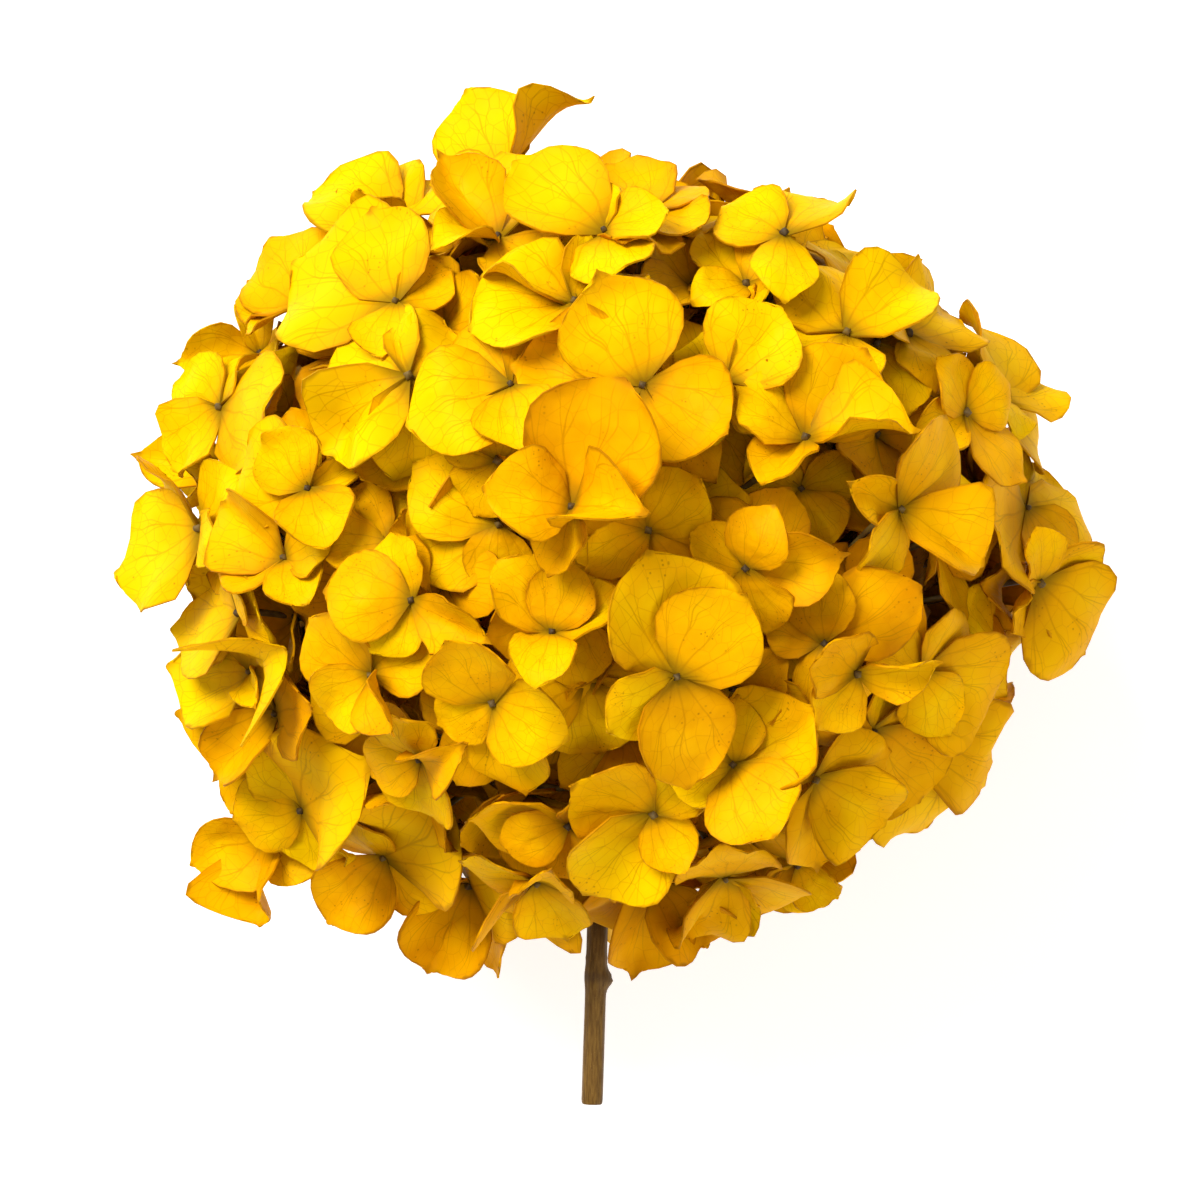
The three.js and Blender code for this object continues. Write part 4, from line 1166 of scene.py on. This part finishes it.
class Shading:
    """The nodes of one material. A value that is given to one is a constant or another node's output."""

    def __init__(self, name):
        self.material = bpy.data.materials.new(name)
        self.material.use_nodes = True
        self.nodes = self.material.node_tree.nodes
        self.links = self.material.node_tree.links
        self.nodes.clear()

    def feed(self, socket, value):
        if isinstance(value, bpy.types.NodeSocket):
            self.links.new(value, socket)
        else:
            socket.default_value = value

    def attribute(self, name):
        node = self.nodes.new("ShaderNodeAttribute")
        node.attribute_type = "GEOMETRY"
        node.attribute_name = name
        return node.outputs["Vector"]

    def axes(self, vector):
        node = self.nodes.new("ShaderNodeSeparateXYZ")
        self.feed(node.inputs[0], vector)
        return tuple(node.outputs)

    def math(self, operation, *values):
        node = self.nodes.new("ShaderNodeMath")
        node.operation = operation
        for socket, value in zip(node.inputs, values):
            self.feed(socket, value)
        return node.outputs[0]

    def mix(self, factor, first, second):
        node = self.nodes.new("ShaderNodeMix")
        node.data_type = "RGBA"
        self.feed(node.inputs[0], factor)
        self.feed(node.inputs[6], first)
        self.feed(node.inputs[7], second)
        return node.outputs[2]

    def tinted(self, colour, tint, where, amount):
        return self.mix(self.math("MULTIPLY", where, amount), colour, tint)

    def step(self, value, low, high):
        node = self.nodes.new("ShaderNodeMapRange")
        node.interpolation_type = "SMOOTHSTEP"
        self.feed(node.inputs["Value"], value)
        self.feed(node.inputs["From Min"], low)
        self.feed(node.inputs["From Max"], high)
        return node.outputs["Result"]

    def noise(self, vector, scale, detail, roughness=0.5, dimensions="2D"):
        node = self.nodes.new("ShaderNodeTexNoise")
        node.noise_dimensions = dimensions
        self.feed(node.inputs["Vector"], vector)
        self.feed(node.inputs["Scale"], scale)
        self.feed(node.inputs["Detail"], detail)
        self.feed(node.inputs["Roughness"], roughness)
        return node.outputs["Fac"]

    def cells(self, vector, scale, feature="F1", dimensions="2D"):
        node = self.nodes.new("ShaderNodeTexVoronoi")
        node.voronoi_dimensions = dimensions
        node.feature = feature
        self.feed(node.inputs["Vector"], vector)
        self.feed(node.inputs["Scale"], scale)
        return node.outputs["Distance"]

    def surface(self, colour, roughness, specular=0.5):
        shader = self.nodes.new("ShaderNodeBsdfPrincipled")
        self.feed(shader.inputs["Base Color"], colour)
        self.feed(shader.inputs["Roughness"], roughness)
        self.feed(shader.inputs["Specular IOR Level"], specular)
        return shader

    def bump(self, shader, height, strength, distance):
        node = self.nodes.new("ShaderNodeBump")
        self.feed(node.inputs["Strength"], strength)
        self.feed(node.inputs["Distance"], distance)
        self.feed(node.inputs["Height"], height)
        self.feed(shader.inputs["Normal"], node.outputs[0])

    def finished(self, shader):
        output = self.nodes.new("ShaderNodeOutputMaterial")
        self.feed(output.inputs["Surface"], shader.outputs[0])
        return self.material


def petal_material():
    """Yellow petals, softly creased, that let some light through."""
    shading = Shading("preserved_petal")
    place = shading.attribute("petal_place")
    mottling = shading.noise(place, 2.4, 2.0)
    colour = petal_colour(shading, place, mottling)
    shader = shading.surface(colour, shading.math("MULTIPLY_ADD", mottling, 0.2, 0.40), 0.02)
    shading.bump(shader, shading.noise(place, 4.0, 2.0), 0.6, 0.0006)
    through = shading.nodes.new("ShaderNodeBsdfTranslucent")
    shading.feed(through.inputs["Color"], colour)
    mixed = shading.nodes.new("ShaderNodeMixShader")
    shading.feed(mixed.inputs[0], LIGHT_THROUGH)
    shading.feed(mixed.inputs[1], shader.outputs[0])
    shading.feed(mixed.inputs[2], through.outputs[0])
    return shading.finished(mixed)


def petal_colour(shading, place, mottling):
    """Lemon to amber with ripeness and painted shade, then the net, the veins, the rim, the throat's
    painted shade, the eye's olive (partly painted shade) and specks.
    """
    across, along, aside = shading.axes(shading.attribute("petal_margin"))
    floret_tone, petal_tone, age = shading.axes(shading.attribute("petal_tone"))
    closeness = shading.math("MAXIMUM", shading.math("ABSOLUTE", across), along)
    # The ripeness also carries painted shade from the floret's tone: more amber deep in the head and low on
    # the right.
    ripeness_and_painted_shade = shading.math("MULTIPLY", floret_tone, 0.42)
    ripeness_and_painted_shade = shading.math("MULTIPLY_ADD", petal_tone, 0.42, ripeness_and_painted_shade)
    ripeness_and_painted_shade = shading.math("MULTIPLY_ADD", mottling, 0.60, ripeness_and_painted_shade)
    ripeness_and_painted_shade = shading.math("MULTIPLY_ADD", shading.math("POWER", closeness, 4.0), 0.24, ripeness_and_painted_shade)
    colour = shading.mix(shading.step(ripeness_and_painted_shade, 0.36, 1.10), LEMON, GOLD)
    colour = shading.mix(shading.step(ripeness_and_painted_shade, 0.92, 1.50), colour, AMBER)
    veins, net = petal_veins(shading, place, aside, along)
    colour = shading.tinted(colour, AMBER, net, 0.40)
    colour = shading.tinted(colour, VEIN_OLIVE, veins, 0.45)
    colour = shading.tinted(colour, RUSSET, petal_rim(shading, place, closeness, age), 0.65)
    # Painted shade: darker amber towards the petal's base, where the petals crowd round the eye.
    colour = shading.tinted(colour, AMBER, shading.step(along, 0.62, 0.04), 0.60)
    # The olive at the very base is partly the petal's own colour and partly painted shade round the eye.
    colour = shading.tinted(colour, EYE_OLIVE, shading.step(along, 0.24, 0.0), 0.8)
    return shading.tinted(colour, RUSSET, petal_specks(shading, place, mottling), 0.6)


def petal_veins(shading, place, aside, along):
    """Main veins that fan out from the base and fork half way, and the fine net between them."""
    wander = shading.noise(place, 1.9, 1.0)
    squares = shading.math("MULTIPLY", aside, aside)
    squares = shading.math("MULTIPLY_ADD", along, along, squares)
    reach = shading.math("SQRT", squares)
    angle = shading.math("ARCTAN2", aside, shading.math("ADD", along, 0.04))
    straighten = shading.math("MULTIPLY_ADD", reach, 0.35, 0.85)
    line = shading.math("MULTIPLY", angle, straighten)
    line = shading.math("ADD", line, shading.math("MULTIPLY_ADD", wander, 0.34, -0.17))
    apart = shading.math("PINGPONG", line, VEIN_SPACING / 2)
    width = shading.math("MULTIPLY_ADD", reach, -0.004, 0.0085)
    fine = shading.math("DIVIDE", reach, width)
    main_veins = shading.step(shading.math("MULTIPLY", apart, fine), 1.5, 0.4)
    fork = shading.nodes.new("ShaderNodeMapRange")
    shading.feed(fork.inputs["Value"], shading.math("MULTIPLY_ADD", wander, 0.5, reach))
    shading.feed(fork.inputs["From Min"], 0.66)
    shading.feed(fork.inputs["From Max"], 1.35)
    shading.feed(fork.inputs["To Max"], VEIN_SPACING / 2)
    beside = shading.math("ABSOLUTE", shading.math("SUBTRACT", apart, fork.outputs["Result"]))
    branches = shading.step(shading.math("MULTIPLY", beside, fine), 1.2, 0.3)
    veins = shading.math("MAXIMUM", main_veins, shading.math("MULTIPLY", branches, 0.75))
    veins = shading.math("MULTIPLY", veins, shading.step(reach, 1.08, 0.62))
    net = shading.step(shading.cells(place, 7.0, "DISTANCE_TO_EDGE"), 0.05, 0.0)
    return veins, net


def petal_rim(shading, place, closeness, age):
    """The thin browned margin, wider on the older petals."""
    rough = shading.noise(place, 7.0, 1.0, 0.6)
    reach = shading.math("MULTIPLY_ADD", rough, 0.12, closeness)
    reach = shading.math("MULTIPLY_ADD", age, 0.03, reach)
    return shading.step(reach, 1.015, 1.09)


def petal_specks(shading, place, mottling):
    """Small spots, in patches."""
    spot = shading.step(shading.cells(place, 12.0), 0.16, 0.05)
    patch = shading.step(mottling, 0.60, 0.70)
    return shading.math("MULTIPLY", spot, patch)


def twig_material(name, light, dark, roughness):
    shading = Shading(name)
    place = shading.nodes.new("ShaderNodeTexCoord").outputs["Object"]
    blotches = shading.noise(place, 260.0, 3.0, 0.5, "3D")
    colour = shading.mix(shading.step(blotches, 0.35, 0.65), light, dark)
    shader = shading.surface(colour, roughness)
    shading.bump(shader, blotches, 0.4, 0.0003)
    return shading.finished(shader)


def bark_material():
    """Brown bark: fine lengthwise streaks, pale speckles, and a darker scar at the leaf joint."""
    shading = Shading("stem_bark")
    place = shading.attribute("bark_place")
    stretch = shading.nodes.new("ShaderNodeMapping")
    shading.feed(stretch.inputs["Scale"], (1.0, 1.0, 0.12))
    shading.feed(stretch.inputs["Vector"], place)
    streaks = shading.noise(stretch.outputs[0], 2.4, 4.0, 0.6, "3D")
    colour = shading.mix(shading.step(streaks, 0.28, 0.76), *BARK_COLOURS)
    speck = shading.step(shading.cells(place, 1.5, "F1", "3D"), 0.20, 0.10)
    colour = shading.tinted(colour, BARK_SPECK, speck, 0.30)
    _, _, height = shading.axes(place)
    from_joint = shading.math("ABSOLUTE", shading.math("SUBTRACT", height, JOINT_HEIGHT))
    colour = shading.tinted(colour, BARK_SCAR, shading.step(from_joint, 1.6, 0.2), 0.45)
    shader = shading.surface(colour, 0.50, 0.18)
    shading.bump(shader, streaks, 0.35, 0.0004)
    return shading.finished(shader)


def dress(pieces, material):
    for piece in pieces:
        piece.data.materials.clear()
        piece.data.materials.append(material)


# Stage. The photograph's frame is 0.2 mm a pixel at the height of the widest part of the head.

ROOM_LIGHT = 0.38
FLOOR_GLOW = 0.50
FLOOR_WHITE = 0.80
PIXEL = 0.2
PHOTO_SIDE = 1200
HEAD_AT = (620, 535)
CAMERA_DISTANCE = 900.0
SENSOR = 36.0


def make_floor():
    bpy.ops.mesh.primitive_plane_add(size=6, location=(0, 0, 0))
    floor = bpy.context.active_object
    floor.name = "floor"
    shading = Shading("pale_floor")
    shader = shading.surface((FLOOR_WHITE, FLOOR_WHITE, FLOOR_WHITE, 1), 0.9)
    shading.feed(shader.inputs["Emission Color"], WHITE)
    shading.feed(shader.inputs["Emission Strength"], FLOOR_GLOW)
    dress([floor], shading.finished(shader))


def area_light(name, place, target, size, power, colour):
    light = bpy.data.lights.new(name, "AREA")
    light.size = size
    light.energy = power
    light.color = colour
    lamp = linked(name, light)
    lamp.location = place
    lamp.rotation_euler = (Vector(target) - Vector(place)).to_track_quat("-Z", "Y").to_euler()


def make_lights(middle):
    area_light("window", (-0.66, 0.76, 1.20), middle, 0.7, 33, (1.0, 0.985, 0.96))
    area_light("overhead", (0.1, 0.0, 1.7), middle, 1.2, 2.5, (1.0, 1.0, 1.0))
    area_light("reflector", (0.8, -0.8, 0.80), middle, 0.8, 7.5, (1.0, 0.97, 0.93))
    bpy.context.scene.world = pale_room()


def pale_room():
    """Even light from all round, and behind the object the tone that the floor has far away."""
    world = bpy.data.worlds.new("pale_room")
    world.use_nodes = True
    nodes, links = world.node_tree.nodes, world.node_tree.links
    light = nodes["Background"]
    light.inputs["Color"].default_value = WHITE
    light.inputs["Strength"].default_value = ROOM_LIGHT
    backdrop = nodes.new("ShaderNodeBackground")
    backdrop.inputs["Color"].default_value = WHITE
    backdrop.inputs["Strength"].default_value = FLOOR_GLOW + FLOOR_WHITE * ROOM_LIGHT
    choice = nodes.new("ShaderNodeMixShader")
    links.new(nodes.new("ShaderNodeLightPath").outputs["Is Camera Ray"], choice.inputs[0])
    links.new(light.outputs[0], choice.inputs[1])
    links.new(backdrop.outputs[0], choice.inputs[2])
    links.new(choice.outputs[0], nodes["World Output"].inputs["Surface"])
    return world


def limit_bounces(cycles):
    cycles.max_bounces = 3
    cycles.diffuse_bounces = 2
    cycles.glossy_bounces = 1
    cycles.transmission_bounces = 1


def make_camera(shift):
    half = PHOTO_SIDE / 2
    centre = np.array([(half - HEAD_AT[0]) * PIXEL, (HEAD_AT[1] - half) * PIXEL, CAMERA_DISTANCE])
    data = bpy.data.cameras.new("camera")
    data.sensor_width = SENSOR
    data.lens = SENSOR * CAMERA_DISTANCE / (PHOTO_SIDE * PIXEL)
    data.clip_start = 0.01
    camera = linked("camera", data)
    camera.location = (centre + shift) * MM
    bpy.context.scene.camera = camera


def make_pieces(shift):
    outer = outer_sheets()
    inner = inner_sheets(outer)
    sheets = outer + inner
    eyes = [sheet["points"][0] for sheet in outer]
    inner_eyes = [sheet["points"][0] for sheet in inner]
    nearest, rays, feet = branching(eyes, inner_eyes)
    petals = make_petals(sheets, len(outer), nearest, shift)
    branches = make_branches(sheets, rays, feet, shift)
    buds = make_buds(sheets, shift)
    stem = make_stem(shift)
    dress(petals, petal_material())
    dress([branches], twig_material("stalk_skin", *STALK_COLOURS, 0.6))
    dress([buds], twig_material("dry_bud", *BUD_COLOURS, 0.7))
    dress([stem], bark_material())
    return petals, branches, buds, stem


def main():
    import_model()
    low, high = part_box("flower_head")
    stem_low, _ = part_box("stem")
    foot_x = stem_low[0] / MM + STEM_RADIUS
    shift = np.array([foot_x - STEM_FOOT[0], stem_low[1] / MM - STEM_FOOT[1], low[2] / MM - FLOOR])

    petals, branches, buds, stem = make_pieces(shift)
    for piece in petals:
        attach(piece, "root")
        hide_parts("flower_head")
    for piece in (branches, buds):
        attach(piece, "root")
        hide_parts("flower_head")
    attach(stem, "root")
    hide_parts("stem")

    make_floor()
    make_lights((low + high) / 2)
    make_camera(shift)
    bpy.context.scene.view_settings.view_transform = "Standard"
    limit_bounces(bpy.context.scene.cycles)


main()
